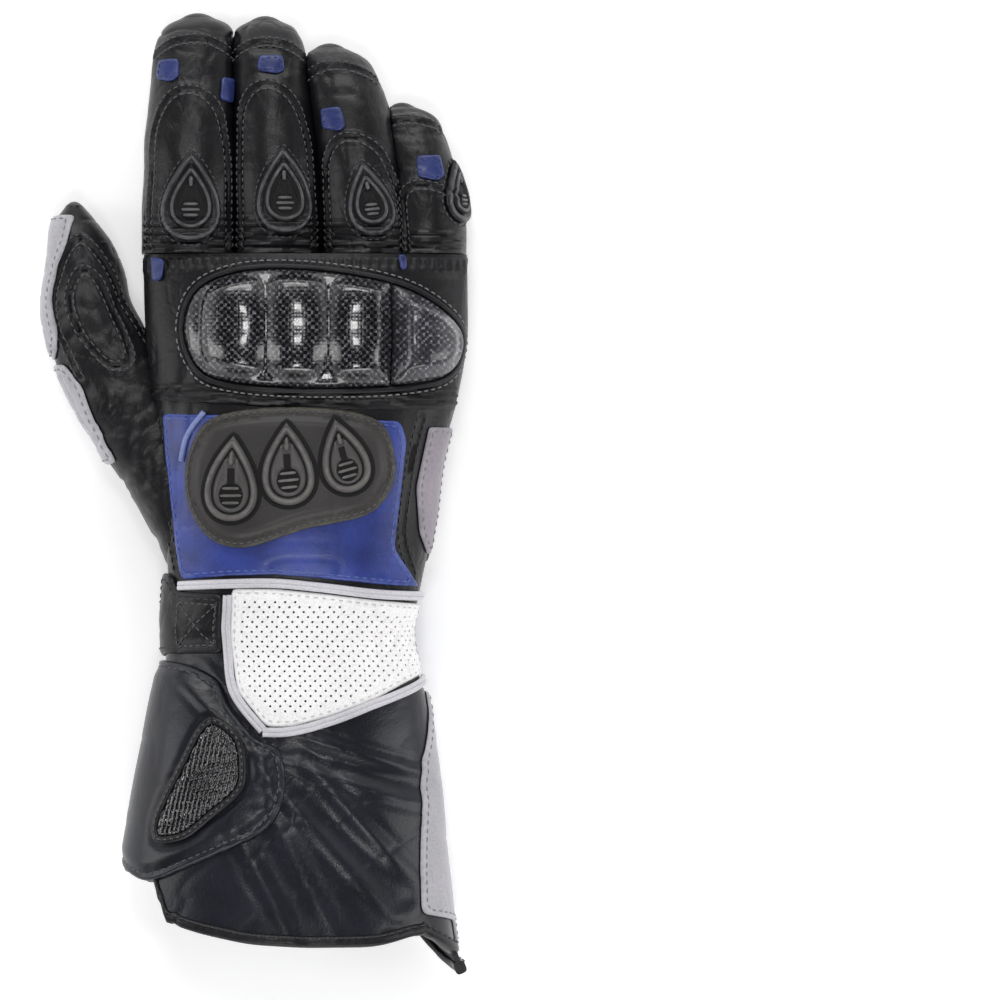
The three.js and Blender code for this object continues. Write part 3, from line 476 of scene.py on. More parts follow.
def body_relief(surface, points, angle, y):
    """The main folds, and the small creases between them."""
    facing = np.cos(angle)
    lift = np.zeros(len(points))
    flat = points[:, :2]
    for row, start, end in zip(FOLDS, FOLD_STARTS, FOLD_ENDS):
        run = end - start
        offset = flat - start
        s = np.clip(offset @ run / (run @ run), 0, 1)
        away = np.linalg.norm(offset - s[:, None] * run, axis=1) / (row[5] * FOLD_REACH)
        mine = np.clip(facing * row[6] * 3, 0, 1)
        strength = mine * row[4] * (0.4 + 2.4 * s * (1 - s))
        lift -= FOLD_DEPTH * strength * np.exp(-away ** 2)
        lift += 0.55 * strength * (bump(away - 1.25, 0.42) - 0.8 * bump(away - 2.1, 0.3))
    swell = 0.55 * noise(points, 34, 3) + 0.25 * noise(points, 15, 4)
    on_cuff = smooth_step(-18, -45, y)
    near_wrist = bump(y - 2, 26)
    slanted = points @ np.array([[0.78, 0.62, 0], [-0.62, 0.78, 0], [0, 0, 1]]).T
    cuff_lines = creases(slanted * [0.35, 1.0, 0.35], 9, 7, 4.0)
    wrist_lines = creases(points * [0.25, 1.0, 0.4], 5.5, 9, 3.5)
    palm_lines = creases(points * [0.8, 0.5, 0.6], 8, 12, 4.0)
    on_palm = np.clip(-facing * 2, 0, 1)
    lift += swell * (0.5 + 0.8 * on_cuff) * (1 - 0.6 * on_palm)
    lift += 0.28 * on_cuff * cuff_lines + 0.42 * near_wrist * wrist_lines + 0.3 * on_palm * palm_lines
    w = surface.girth_at(angle, y)
    left_side = bump(w + 44, 9) * smooth_step(18, 40, y) * smooth_step(112, 90, y)
    lift += 0.9 * left_side * creases(points * [1.0, 0.25, 0.8], 6, 14, 3.0)
    for line, depth in BODY_SEAMS:
        away, _ = to_line(np.column_stack([w, y]), line)
        lift -= depth * bump(away, 0.55) - 0.3 * depth * bump(away - 1.6, 0.8)
    return lift


def make_body():
    along = np.concatenate([np.linspace(-1.18, 0, 90)[:-1], np.linspace(0, 1, 90)])
    width, height = body_sizes(along)
    return Surface(
        along_to_y(along),
        smooth_rows(BODY_ROWS, along, 1) * width,
        smooth_rows(BODY_ROWS, along, 2) * width,
        FLOOR_CLEARANCE + np.maximum(smooth_rows(BODY_ROWS, along, 3), 0) * height,
        smooth_rows(BODY_ROWS, along, 4) * height,
        np.where(along < 0, 2.2, 2.35), 2.6, 1.16, body_relief,
    )


def finger_relief(surface, points, angle, y):
    """Pleats at the root, creases at the joints and the tip, sewn lines and a little unevenness."""
    share = (y - HAND_LENGTH) / (surface.y[-1] - HAND_LENGTH)
    facing = np.cos(angle)
    near_tip = smooth_step(0.62, 0.85, share)
    lift = 0.34 * noise(points, 13, 21) + 0.14 * noise(points, 5, 22)
    pleats = np.sin((y - HAND_LENGTH + 0.5 * noise(points, 8, 23)) * 2 * math.pi / 2.5)
    lift += 0.5 * pleats * smooth_step(0.1, 0.5, facing) * smooth_step(0.17, 0.13, share)
    palm = np.clip(-facing * 2, 0, 1)
    for joint, depth in ((0.34, 0.8), (0.68, 0.6)):
        wave = points[:, 1] + 1.2 * noise(points, 9, 25)
        off = wave - HAND_LENGTH - joint * (surface.y[-1] - HAND_LENGTH)
        lift -= palm * depth * (bump(off, 1.1) + 0.5 * bump(off - 3.4, 0.9) + 0.5 * bump(off + 3.2, 0.9))
    lift += 0.25 * creases(points * [0.5, 1.0, 0.6], 6, 27, 4.0) * (0.5 + 0.5 * palm)
    lift += near_tip * (0.6 * creases(points * [0.5, 1.0, 0.7], 7, 28, 3.0) + 0.4 * noise(points, 7, 29))
    if surface.seams:
        flat = np.column_stack([surface.girth_at(angle, y), y])
        for line in surface.seams:
            away, _ = to_line(flat, line)
            lift += 0.35 * bump(away - 1.5, 0.8) - 0.7 * bump(away, 0.5)
    return lift * smooth_step(1.0, 0.93, share)


TIP_BULGE = 1.6
TIP_ROWS = 24
TIP_END = 0.0006


def round_tip(y, left, right, low, top):
    """The sections of a digit, with more of them that close it in a rounded tip."""
    rounding = np.sqrt(np.linspace(1, TIP_END, TIP_ROWS))
    sections = [np.concatenate([y, y[-1] + TIP_BULGE * (1 - rounding ** 2) + 1e-3])]
    for pair in ((left, right), (low, top)):
        middle = (pair[0][-1] + pair[1][-1]) / 2
        sections += [np.concatenate([side, middle + (side[-1] - middle) * rounding]) for side in pair]
    return sections


def make_finger(name):
    digit = DIGITS[name]
    along = np.concatenate([np.linspace(-0.14, 0.9, 80)[:-1], np.linspace(0.9, 1.0, 40)])
    root = spot(digit["root"], 1.0)
    centre = root[0] + digit["bend"] * digit["width"] * np.maximum(along, 0) ** 2
    half = digit["width"] * smooth_rows(FINGER_ROWS, along, 1) / 2
    low, top = [smooth_rows(FINGER_ROWS, along, column) * digit["depth"] for column in (2, 3)]
    sections = round_tip(root[1] + along * digit["length"], centre - half, centre + half, low, top)
    return Surface(*sections, 2.2, 2.4, 1.06, finger_relief)


def press_against(neighbour, side):
    """Keeps a finger clear of the neighbour that presses on it."""
    def press(points, height):
        left, right, low, top = neighbour.section(points[:, 1])
        waist = low + (top - low) * SIDE_SEAM
        upper = points[:, 2] >= waist
        rise = np.where(upper, top - waist, (waist - low) * neighbour.powers[2])
        share = np.clip(np.abs(points[:, 2] - waist) / rise, 0, 1)
        power = np.where(upper, neighbour.powers[0], neighbour.powers[1])
        half = (right - left) / 2 * (1 - share ** power) ** (1 / power)
        middle = (left + right) / 2
        edge = middle + side * (half + GAP - np.minimum(height, 0))
        near = points[:, 1] < neighbour.y[-1]
        x = points[:, 0]
        pushed = np.where(side > 0, np.maximum(x, edge), np.minimum(x, edge))
        result = points.copy()
        result[:, 0] = np.where(near & (share < 1), pushed, x)
        return result
    return press


def thumb_relief(surface, points, angle, y):
    lift = 0.5 * noise(points, 16, 31) + 0.2 * noise(points, 6, 32)
    share = (y - surface.y[0]) / (surface.y[-1] - surface.y[0])
    slanted = points @ np.array([[0.8, 0.6, 0], [-0.6, 0.8, 0], [0, 0, 1]]).T
    lift += 0.8 * creases(slanted * [0.4, 1.0, 0.5], 7, 35, 3.5) * smooth_step(0.8, 0.55, share)
    lift += 0.4 * creases(points * [0.5, 1.0, 0.5], 6, 36, 4.0)
    flat = np.column_stack([surface.girth_at(angle, y), y])
    for line in surface.seams:
        away, _ = to_line(flat, line)
        lift += 0.4 * bump(away - 1.6, 0.9) - 0.8 * bump(away, 0.55)
    return lift * smooth_step(1.0, 0.94, share)


def make_thumb():
    along = np.concatenate([np.linspace(0, 0.9, 90)[:-1], np.linspace(0.9, 1.0, 30)])
    start = THUMB_START * HAND_LENGTH
    y = start + along * THUMB_LENGTH
    edge, _ = edges_at(np.minimum(y / HAND_LENGTH, 1.0))
    left, right = [edge - smooth_rows(THUMB_ROWS, along, column) * THUMB_REACH for column in (1, 2)]
    low, top = [smooth_rows(THUMB_ROWS, along, column) * THUMB_DEPTH for column in (3, 4)]
    return Surface(*round_tip(y, left, right, low, top), 2.2, 2.4, 1.08, thumb_relief)


BODY = make_body()
FINGERS = {name: make_finger(name) for name in DIGITS}
for _name, (_neighbour, _side) in PRESSED_BY.items():
    FINGERS[_name].press = press_against(FINGERS[_neighbour], _side)
THUMB = make_thumb()


def digit_line(surface, rows, start, length):
    """A smooth line on a digit's back: share across its half width, share along it."""
    places = []
    for across, along in rows:
        y = start + along * length
        left, right, _, _ = surface.section(y)
        plan_point = np.array([[(left + right) / 2 + across * (right - left) / 2, y]])
        places.append(surface.unroll(plan_point)[0])
    return rounded(places, closed=False)


ARCH_TOPS = {"index": 0.68, "middle": 0.71, "ring": 0.55}
for _name, _top in ARCH_TOPS.items():
    _digit = DIGITS[_name]
    FINGERS[_name].seams.append(digit_line(FINGERS[_name], [
        (-0.80, 0.02), (-0.78, 0.30), (-0.72, _top - 0.12), (-0.38, _top - 0.01), (0.10, _top),
        (0.52, _top - 0.06), (0.76, _top - 0.22), (0.80, 0.30), (0.82, 0.02)], HAND_LENGTH, _digit["length"]))
for _name, _digit in DIGITS.items():
    FINGERS[_name].seams.append(digit_line(FINGERS[_name], [
        (-0.93, 0.83), (-0.5, 0.885), (0.0, 0.90), (0.5, 0.885), (0.93, 0.83)], HAND_LENGTH, _digit["length"]))
FINGERS["little"].seams.append(digit_line(FINGERS["little"], [
    (-0.55, 0.02), (-0.58, 0.20), (-0.52, 0.40), (-0.2, 0.455), (0.4, 0.44), (0.8, 0.38)], HAND_LENGTH, 52))
THUMB.seams.append(digit_line(THUMB, [
    (-0.62, 0.55), (-0.72, 0.66), (-0.70, 0.78), (-0.40, 0.88), (0.05, 0.91), (0.50, 0.86), (0.80, 0.76),
    (0.88, 0.62)], THUMB_START * HAND_LENGTH, THUMB_LENGTH))
THUMB.seams.append(digit_line(THUMB, [
    (-0.30, 0.66), (-0.36, 0.76), (-0.05, 0.83), (0.35, 0.80), (0.52, 0.70), (0.40, 0.60), (0.0, 0.58),
    (-0.30, 0.66)], THUMB_START * HAND_LENGTH, THUMB_LENGTH))


def body_place(across, along, side="back"):
    """A place (w, y) for shares across and along the body."""
    return BODY.unroll(spot(across, along)[None, :], side)[0]


def body_line(rows, side="back"):
    return rounded([body_place(min(max(a, 0), 0.999), b, side) for a, b in rows], closed=False)


def body_curve(rows, side="back", closed=True):
    """A smooth outline through shares of the body, drawn in the plan."""
    return BODY.unroll(rounded([spot(*row) for row in rows], closed), side)


BODY_SEAMS.append((body_line([(0.035, 0.57), (0.02, 0.45), (0.018, 0.30), (0.04, 0.16)]), 0.7))
BODY_SEAMS.append((body_line([(0.90, 0.57), (0.895, 0.40), (0.90, 0.24), (0.965, 0.14)]), 0.6))
BODY_SEAMS.append((body_line([(0.30, 0.55), (0.36, 0.40), (0.34, 0.25), (0.24, 0.12)], "palm"), 0.8))


def within(surface, points, grow):
    """Whether points lie inside a tube grown by a distance."""
    y = points[:, 1]
    left, right, low, top = surface.section(y)
    middle = (left + right) / 2
    waist = low + (top - low) * SIDE_SEAM
    upper = points[:, 2] >= waist
    power = np.where(upper, surface.power(0, y), surface.powers[1])
    rise = np.where(upper, top - waist, (waist - low) * surface.powers[2]) + grow
    x = np.abs(points[:, 0] - middle) / np.maximum((right - left) / 2 + grow, 0.05)
    z = np.abs(points[:, 2] - waist) / np.maximum(rise, 0.05)
    held = (y > surface.y[0] - grow) & (y < surface.y[-1] + grow)
    return held & (x ** power + z ** power < 1) & (points[:, 2] > low - grow)


# Mesh makers

TUBE_SHARP = 40
PANEL_SHARP = 50
WALL_SHARP = 60
BURIED = 1.2


def new_piece(name, points, faces, material, node=None, sharp=PANEL_SHARP, worn=None):
    """A mesh in the shared frame, from millimetres about the wrist; worn is 1 on a rubbed edge."""
    mesh = bpy.data.meshes.new(name)
    mesh.from_pydata((np.asarray(points) + ORIGIN) * MILLIMETRE, [], faces)
    mesh.validate()
    mesh.shade_smooth()
    if sharp:
        mesh.set_sharp_from_angle(angle=math.radians(sharp))
    if worn is not None:
        layer = mesh.attributes.new("edge", "FLOAT", "POINT")
        layer.data.foreach_set("value", np.full(len(points), worn, np.float32))
    piece = bpy.data.objects.new(name, mesh)
    bpy.context.scene.collection.objects.link(piece)
    mesh.materials.append(material)
    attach(piece, "root")
    if node:
        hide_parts(*([node] if isinstance(node, str) else node))
    return piece


def close_sheet(count, faces):
    """Faces of a closed solid from a sheet of triangles: its twin below and the walls between."""
    faces = np.asarray(faces)
    below = faces[:, ::-1] + count
    corners = faces.shape[1]
    edges = np.vstack([faces[:, [k, (k + 1) % corners]] for k in range(corners)])
    low = edges.min(axis=1) * (count + 1) + edges.max(axis=1)
    _, first, tally = np.unique(low, return_index=True, return_counts=True)
    rim = edges[first[tally == 1]]
    walls = [(b, a, a + count, b + count) for a, b in rim]
    return [tuple(f) for f in faces] + [tuple(f) for f in below] + walls


def triangulate(loops, points, keep):
    """Triangles between plan points; keep tells which triangle centres stay."""
    verts = []
    edges = []
    for loop in loops:
        start = len(verts)
        verts += [Vector(p) for p in loop]
        edges += [(start + i, start + (i + 1) % len(loop)) for i in range(len(loop))]
    verts += [Vector(p) for p in points]
    out_verts, _, out_faces, _, _, _ = delaunay_2d_cdt(verts, edges, [], 0, 1e-5)
    flat = np.array([(v.x, v.y) for v in out_verts])
    faces = np.array([f for f in out_faces if len(f) == 3])
    kept = keep(flat[faces].mean(axis=1))
    faces = faces[kept]
    used = np.unique(faces)
    renumber = np.full(len(flat), -1)
    renumber[used] = np.arange(len(used))
    return flat[used], renumber[faces]


def panel(name, surface, outline, base, thickness, material, node=None, spacing=1.0,
          edge=1.1, lip=0.45, shape=None, holes=(), sharp=50):
    """A sewn panel: a closed sheet over an outline (w, y), rolled down at its edge."""
    step = spacing * FINENESS
    loop = resample(outline, step * 0.8, closed=True)
    area = loop_area(loop)
    if area < 0:
        loop = loop[::-1]
    low, high = loop.min(axis=0), loop.max(axis=0)
    rows = np.arange(low[1], high[1], step * 0.866)
    grid = np.vstack([
        np.column_stack([np.arange(low[0] + (i % 2) * step / 2, high[0], step),
                         np.full(len(np.arange(low[0] + (i % 2) * step / 2, high[0], step)), y)])
        for i, y in enumerate(rows)])
    grid = grid[inside(grid, loop)]
    away, _ = to_line(grid, loop, closed=True)
    ring_depths = [edge * 0.28, edge * 0.7, edge * 1.25]
    loose = np.vstack([grid[away > ring_depths[-1] + 0.5 * step]] + [inset(loop, depth) for depth in ring_depths])
    turn = np.arange(8) * math.pi / 4
    hole_loops = [centre + radius * np.column_stack([np.cos(turn), np.sin(turn)]) for centre, radius in holes]
    for centre, radius in holes:
        loose = loose[np.hypot(*(loose - centre).T) > radius * 1.45]

    def keep(middles):
        kept = inside(middles, loop)
        for centre, radius in holes:
            kept &= np.hypot(*(middles - centre).T) > radius * 0.97
        return kept

    flat, faces = triangulate([loop] + hole_loops, loose, keep)
    signed = np.cross(flat[faces[:, 1]] - flat[faces[:, 0]], flat[faces[:, 2]] - flat[faces[:, 0]])
    faces = np.where((signed > 0)[:, None], faces, faces[:, ::-1])
    depth, _ = to_line(flat, loop, closed=True)
    roll = np.sqrt(np.clip(1 - (1 - np.clip(depth / edge, 0, 1)) ** 2, 0, 1))
    height = thickness * (lip + (1 - lip) * roll)
    if shape is not None:
        height = shape(flat, depth, height)
    top = surface.at(flat, base + height)
    bottom = surface.at(flat, np.full(len(flat), base))
    solid = close_sheet(len(flat), faces)
    worn = np.exp(-depth / 1.3)
    return new_piece(name, np.vstack([top, bottom]), solid, material, node, sharp, np.concatenate([worn, worn]))


def grid_quads(rows, columns, round_it=True):
    """Quads of a grid of points, closed round its columns or left open."""
    index = np.arange(rows * columns).reshape(rows, columns)
    after = np.roll(index, -1, axis=1)
    quads = np.stack([index[:-1], after[:-1], after[1:], index[1:]], axis=-1)
    return (quads if round_it else quads[:, :-1]).reshape(-1, 4)


def seen_quads(quads, outer, buried_in):
    """The quads that aren't buried in another surface, renumbered, and the points that they use."""
    if buried_in is not None:
        quads = quads[~within(buried_in, outer, -BURIED)[quads].all(axis=1)]
    used = np.unique(quads)
    renumber = np.full(len(outer), -1)
    renumber[used] = np.arange(len(used))
    return renumber[quads], used, renumber


def shell(name, surface, angles, y_grid, material, node, buried_in=None):
    """A closed leather wall over a grid: its outside, its inside and its rims."""
    rows, columns = y_grid.shape
    flat_a = np.repeat(angles[None, :], rows, axis=0).ravel()
    flat_y = y_grid.ravel()
    outer, inner = [surface.place(flat_a, flat_y, np.full(len(flat_a), height)) for height in (0.0, -WALL)]
    quads, used, _ = seen_quads(grid_quads(rows, columns, False), outer, buried_in)
    return new_piece(name, np.vstack([outer[used], inner[used]]), close_sheet(len(used), quads), material, node,
                     WALL_SHARP, 0)


def ring_shell(name, surface, y_values, columns, node, buried_in=None):
    """A closed tube with a rounded tip, open at its root."""
    angles = np.linspace(-math.pi, math.pi, columns, endpoint=False)
    rows = len(y_values)
    span = surface.y[-1] - y_values[0]
    y_inner = y_values[0] + (y_values - y_values[0]) * (span - WALL) / span
    outer, inner = [np.vstack([surface.place(angles, np.full(columns, y), np.full(columns, height)) for y in places])
                    for places, height in ((y_values, 0.0), (y_inner, -WALL))]
    squeeze = inner[-columns:].mean(axis=0)
    inner[-columns:] = squeeze + (inner[-columns:] - squeeze) * 0.05
    quads, used, renumber = seen_quads(grid_quads(rows, columns), outer, buried_in)
    tip = renumber[-columns:]
    count = len(used)
    at_tip = set(tip) | set(tip + count)
    solid = [face for face in close_sheet(count, quads) if not (len(face) == 4 and set(face) <= at_tip)]
    return new_piece(name, np.vstack([outer[used], inner[used]]), solid + [tuple(tip), tuple((tip + count)[::-1])],
                     BLACK, node, WALL_SHARP, 0)


def tube_faces(rows, sides):
    ends = np.arange(rows * sides).reshape(rows, sides)
    return [tuple(quad) for quad in grid_quads(rows, sides)] + [tuple(ends[0][::-1]), tuple(ends[-1])]


def sweep(path, normals, profile):
    """Rings of a profile (across, up) carried along a path of points."""
    run = np.gradient(path, axis=0)
    run /= np.linalg.norm(run, axis=1)[:, None]
    side = np.cross(run, normals)
    side /= np.linalg.norm(side, axis=1)[:, None]
    up = np.cross(side, run)
    return (path[:, None, :] + profile[None, :, 0, None] * side[:, None, :]
            + profile[None, :, 1, None] * up[:, None, :]).reshape(-1, 3)


def circle(radius, sides=10, squash=1.0):
    turn = np.arange(sides) * 2 * math.pi / sides
    return np.column_stack([np.cos(turn) * radius, np.sin(turn) * radius * squash])


def surface_path(surface, line, height):
    points = surface.at(line, np.full(len(line), height))
    above = surface.at(line, np.full(len(line), height + 1.0))
    return points, above - points


def piping(name, surface, line, radius, material, node, base=GAP):
    """A round piping cord along places (w, y), capped at both ends."""
    path, up = surface_path(surface, resample(line, 0.8), base + radius * 0.8)
    rings = sweep(path, up, circle(radius))
    return new_piece(name, rings, tube_faces(len(path), 10), material, node, TUBE_SHARP, 0)


def ring_tube(name, surface, line, step, height, profile, material, worn, node=None):
    """A cord round a closed line of places (w, y)."""
    path, up = surface_path(surface, resample(np.vstack([line, line[:1]]), step), height)
    faces = tube_faces(len(path), len(profile))
    return new_piece(name, sweep(path, up, profile), faces, material, node, TUBE_SHARP, worn)


STITCH_LENGTH = 2.0
STITCH_PITCH = 2.9
STITCH_RADIUS = 0.26


def stitch_solids(surface, lines, height, pitch=STITCH_PITCH, length=STITCH_LENGTH, radius=STITCH_RADIUS):
    """Short thread capsules along lines of places (w, y)."""
    shares = np.array([-1.0, -0.6, 0.0, 0.6, 1.0])
    sizes = np.array([0.45, 0.9, 1.0, 0.9, 0.45])
    sinks = np.array([-0.32, -0.05, 0.06, -0.05, -0.32])
    points = []
    faces = []
    sides = 6
    for line in lines:
        fine = resample(line, pitch)
        if len(fine) < 2:
            continue
        middles = (fine[:-1] + fine[1:]) / 2
        runs = fine[1:] - fine[:-1]
        lengths = np.linalg.norm(runs, axis=1)
        good = lengths < pitch * 1.6
        middles = middles[good]
        runs = (runs / lengths[:, None])[good]
        if not len(middles):
            continue
        rings = []
        for share, size, sink in zip(shares, sizes, sinks):
            at = middles + runs * share * length / 2
            lifts = np.full(len(at), height)
            path, up = surface_path(surface, at, 0)
            up_unit = up / np.linalg.norm(up, axis=1)[:, None]
            ahead, _ = surface_path(surface, at + runs * 0.2, 0)
            run3 = ahead - path
            run3 /= np.linalg.norm(run3, axis=1)[:, None]
            side = np.cross(run3, up_unit)
            centre = path + up_unit * (lifts + sink + radius * 0.3)[:, None]
            turn = np.arange(sides) * 2 * math.pi / sides
            ring = (centre[:, None, :]
                    + np.cos(turn)[None, :, None] * side[:, None, :] * radius * size
                    + np.sin(turn)[None, :, None] * up_unit[:, None, :] * radius * size)
            rings.append(ring)
        block = np.stack(rings, axis=1)
        pattern = tube_faces(len(shares), sides)
        for item in block:
            start = len(points) * len(shares) * sides
            points.append(item.reshape(-1, 3))
            faces += [tuple(v + start for v in f) for f in pattern]
    return (np.vstack(points) if points else np.zeros((0, 3))), faces


def stitches(name, surface, lines, height, material, slot, **sizes):
    points, faces = stitch_solids(surface, lines, height, **sizes)
    return new_piece(name, points, faces, material, None, 0)


def seam_loop(outline, distance):
    """Stitch lines at a distance inside a closed outline, in one or more runs."""
    line = inset(resample(outline, 0.8, closed=True), distance)
    jumps = np.linalg.norm(np.diff(line, axis=0), axis=1) > 3.0
    return [run for run in np.split(line, np.nonzero(jumps)[0] + 1) if len(run) > 3]


# Materials

def add(tree, kind, links=None, **settings):
    """A node with its settings, and its inputs linked or set."""
    node = tree.nodes.new(kind)
    for key, value in settings.items():
        setattr(node, key, value)
    for key, value in (links or {}).items():
        if isinstance(value, bpy.types.NodeSocket):
            tree.links.new(value, node.inputs[key])
        else:
            node.inputs[key].default_value = value
    return node


def math_node(tree, operation, first, second=0.5, third=None, clamp=False):
    links = {0: first, 1: second}
    if third is not None:
        links[2] = third
    return add(tree, "ShaderNodeMath", links, operation=operation, use_clamp=clamp).outputs[0]


def group(name, inputs, outputs):
    """An empty node group with named inputs and outputs, and its two end nodes."""
    tree = bpy.data.node_groups.new(name, "ShaderNodeTree")
    for label, kind, value in inputs:
        socket = tree.interface.new_socket(label, in_out="INPUT", socket_type=kind)
        if value is not None:
            socket.default_value = value
    for label, kind in outputs:
        tree.interface.new_socket(label, in_out="OUTPUT", socket_type=kind)
    return tree, tree.nodes.new("NodeGroupInput").outputs, tree.nodes.new("NodeGroupOutput").inputs


FLOAT, COLOR, VECTOR = "NodeSocketFloat", "NodeSocketColor", "NodeSocketVector"


def grain_group():
    """Leather grain: rounded cells with pores between them, and soft patches."""
    tree, given, made = group(
        "Leather Grain",
        [("Vector", VECTOR, None), ("Scale", FLOAT, 900.0)],
        [("Height", FLOAT), ("Pores", FLOAT), ("Patches", FLOAT)],
    )
    warp = add(tree, "ShaderNodeTexNoise", {"Vector": given["Vector"], "Scale": 300.0, "Detail": 2.0})
    shifted = add(tree, "ShaderNodeVectorMath", {0: warp.outputs["Color"], "Scale": 0.0012}, operation="SCALE")
    at = add(tree, "ShaderNodeVectorMath", {0: given["Vector"], 1: shifted.outputs[0]}, operation="ADD")
    cells = add(tree, "ShaderNodeTexVoronoi", {"Vector": at.outputs[0], "Scale": given["Scale"]}, feature="F1")
    fine = add(tree, "ShaderNodeTexNoise", {"Vector": given["Vector"], "Scale": 2600.0, "Detail": 1.0})
    domed = math_node(tree, "SUBTRACT", 1.0, cells.outputs["Distance"])
    height = math_node(tree, "MULTIPLY_ADD", fine.outputs["Fac"], 0.35, domed)
    pores = add(tree, "ShaderNodeMapRange",
                {"Value": cells.outputs["Distance"], "From Min": 0.45, "From Max": 0.75})
    patches = add(tree, "ShaderNodeTexNoise", {"Vector": given["Vector"], "Scale": 55.0, "Detail": 3.0})
    tree.links.new(height, made["Height"])
    tree.links.new(pores.outputs["Result"], made["Pores"])
    tree.links.new(patches.outputs["Fac"], made["Patches"])
    return tree


def wrinkle_group():
    """A net of shallow creases with soft leather between them."""
    tree, given, made = group(
        "Leather Wrinkles",
        [("Vector", VECTOR, None), ("Scale", FLOAT, 170.0), ("Stretch", VECTOR, (1.0, 0.55, 0.8))],
        [("Height", FLOAT), ("Creases", FLOAT)],
    )
    warp = add(tree, "ShaderNodeTexNoise", {"Vector": given["Vector"], "Scale": 90.0, "Detail": 3.0})
    shifted = add(tree, "ShaderNodeVectorMath", {0: warp.outputs["Color"], "Scale": 0.009}, operation="SCALE")
    at = add(tree, "ShaderNodeVectorMath", {0: given["Vector"], 1: shifted.outputs[0]}, operation="ADD")
    laid = add(tree, "ShaderNodeVectorMath", {0: at.outputs[0], 1: given["Stretch"]}, operation="MULTIPLY")
    cells = add(tree, "ShaderNodeTexVoronoi", {"Vector": laid.outputs[0], "Scale": given["Scale"]},
                feature="DISTANCE_TO_EDGE")
    soft = add(tree, "ShaderNodeMapRange", {"Value": cells.outputs["Distance"], "From Min": 0.0, "From Max": 0.22},
               interpolation_type="SMOOTHSTEP")
    where = add(tree, "ShaderNodeTexNoise", {"Vector": given["Vector"], "Scale": 28.0, "Detail": 2.0})
    strength = add(tree, "ShaderNodeMapRange", {"Value": where.outputs["Fac"], "From Min": 0.38, "From Max": 0.62})
    sunk = math_node(tree, "MULTIPLY", math_node(tree, "SUBTRACT", 1.0, soft.outputs["Result"]),
                     strength.outputs["Result"])
    tree.links.new(math_node(tree, "SUBTRACT", 1.0, sunk), made["Height"])
    tree.links.new(sunk, made["Creases"])
    return tree


def tone_group():
    """Colour of leather: patches, darker pores and paler worn edges."""
    tree, given, made = group(
        "Leather Tone",
        [("Color", COLOR, (0.5, 0.5, 0.5, 1)), ("Worn Color", COLOR, (0.6, 0.6, 0.6, 1)),
         ("Vector", VECTOR, None), ("Patches", FLOAT, 0.5), ("Pores", FLOAT, 0.0),
         ("Edge", FLOAT, 0.0), ("Spread", FLOAT, 0.3), ("Wear", FLOAT, 0.5)],
        [("Color", COLOR), ("Wear", FLOAT)],
    )
    spread = add(tree, "ShaderNodeMapRange", {"Value": given["Patches"], "From Min": 0.3, "From Max": 0.7,
                                              "To Min": -1.0, "To Max": 1.0})
    level = math_node(tree, "MULTIPLY_ADD", math_node(tree, "MULTIPLY", spread.outputs[0], given["Spread"]), 1.0, 1.0)
    toned = add(tree, "ShaderNodeVectorMath", {0: given["Color"], "Scale": level}, operation="SCALE")
    dark = add(tree, "ShaderNodeMix", {"Factor": math_node(tree, "MULTIPLY", given["Pores"], 0.12),
                                       "A": toned.outputs[0], "B": (0, 0, 0, 1)}, data_type="RGBA")
    rub = add(tree, "ShaderNodeTexNoise", {"Vector": given["Vector"], "Scale": 420.0, "Detail": 4.0})
    rubbed = add(tree, "ShaderNodeMapRange", {"Value": rub.outputs["Fac"], "From Min": 0.35, "From Max": 0.7})
    worn = math_node(tree, "MULTIPLY", math_node(tree, "MULTIPLY", given["Edge"], rubbed.outputs[0]),
                     given["Wear"], clamp=True)
    mixed = add(tree, "ShaderNodeMix", {"Factor": worn, "A": dark.outputs["Result"],
                                        "B": given["Worn Color"]}, data_type="RGBA")
    tree.links.new(mixed.outputs["Result"], made["Color"])
    tree.links.new(worn, made["Wear"])
    return tree


def weave_group():
    """A checker of fibre bundles: alternate squares differ in tone, and every square has the same rounded crown."""
    tree, given, made = group(
        "Fibre Weave",
        [("Vector", VECTOR, None), ("Pitch", FLOAT, 0.0012)],
        [("Squares", FLOAT), ("Painted Glints", FLOAT), ("Height", FLOAT)],
    )
    flat = add(tree, "ShaderNodeVectorMath", {0: given["Vector"], 1: (1, 1, 0)}, operation="MULTIPLY")
    scale = math_node(tree, "DIVIDE", 1.0, given["Pitch"])
    squares = add(tree, "ShaderNodeTexChecker", {"Vector": flat.outputs[0], "Scale": scale})
    parts = add(tree, "ShaderNodeSeparateXYZ", {0: flat.outputs[0]})
    rate = math_node(tree, "MULTIPLY", scale, math.pi)
    ribs = [math_node(tree, "ABSOLUTE", math_node(tree, "SINE", math_node(tree, "MULTIPLY", axis, rate)))
            for axis in (parts.outputs[0], parts.outputs[1])]
    crown = math_node(tree, "MULTIPLY", ribs[0], ribs[1])
    # Painted glints: a random value for each small square, raised to a power, so that a few squares come out much
    # lighter like sparkling highlights.
    cell = add(tree, "ShaderNodeVectorMath", {0: flat.outputs[0], 1: (0.000625, 0.000625, 1)}, operation="SNAP")
    painted_glint_chance = add(tree, "ShaderNodeTexWhiteNoise", {"Vector": cell.outputs[0]})
    tree.links.new(math_node(tree, "POWER", painted_glint_chance.outputs["Value"], 3.0), made["Painted Glints"])
    tree.links.new(squares.outputs["Fac"], made["Squares"])
    tree.links.new(crown, made["Height"])
    return tree


GRAIN = grain_group()
WRINKLES = wrinkle_group()
TONE = tone_group()
WEAVE = weave_group()


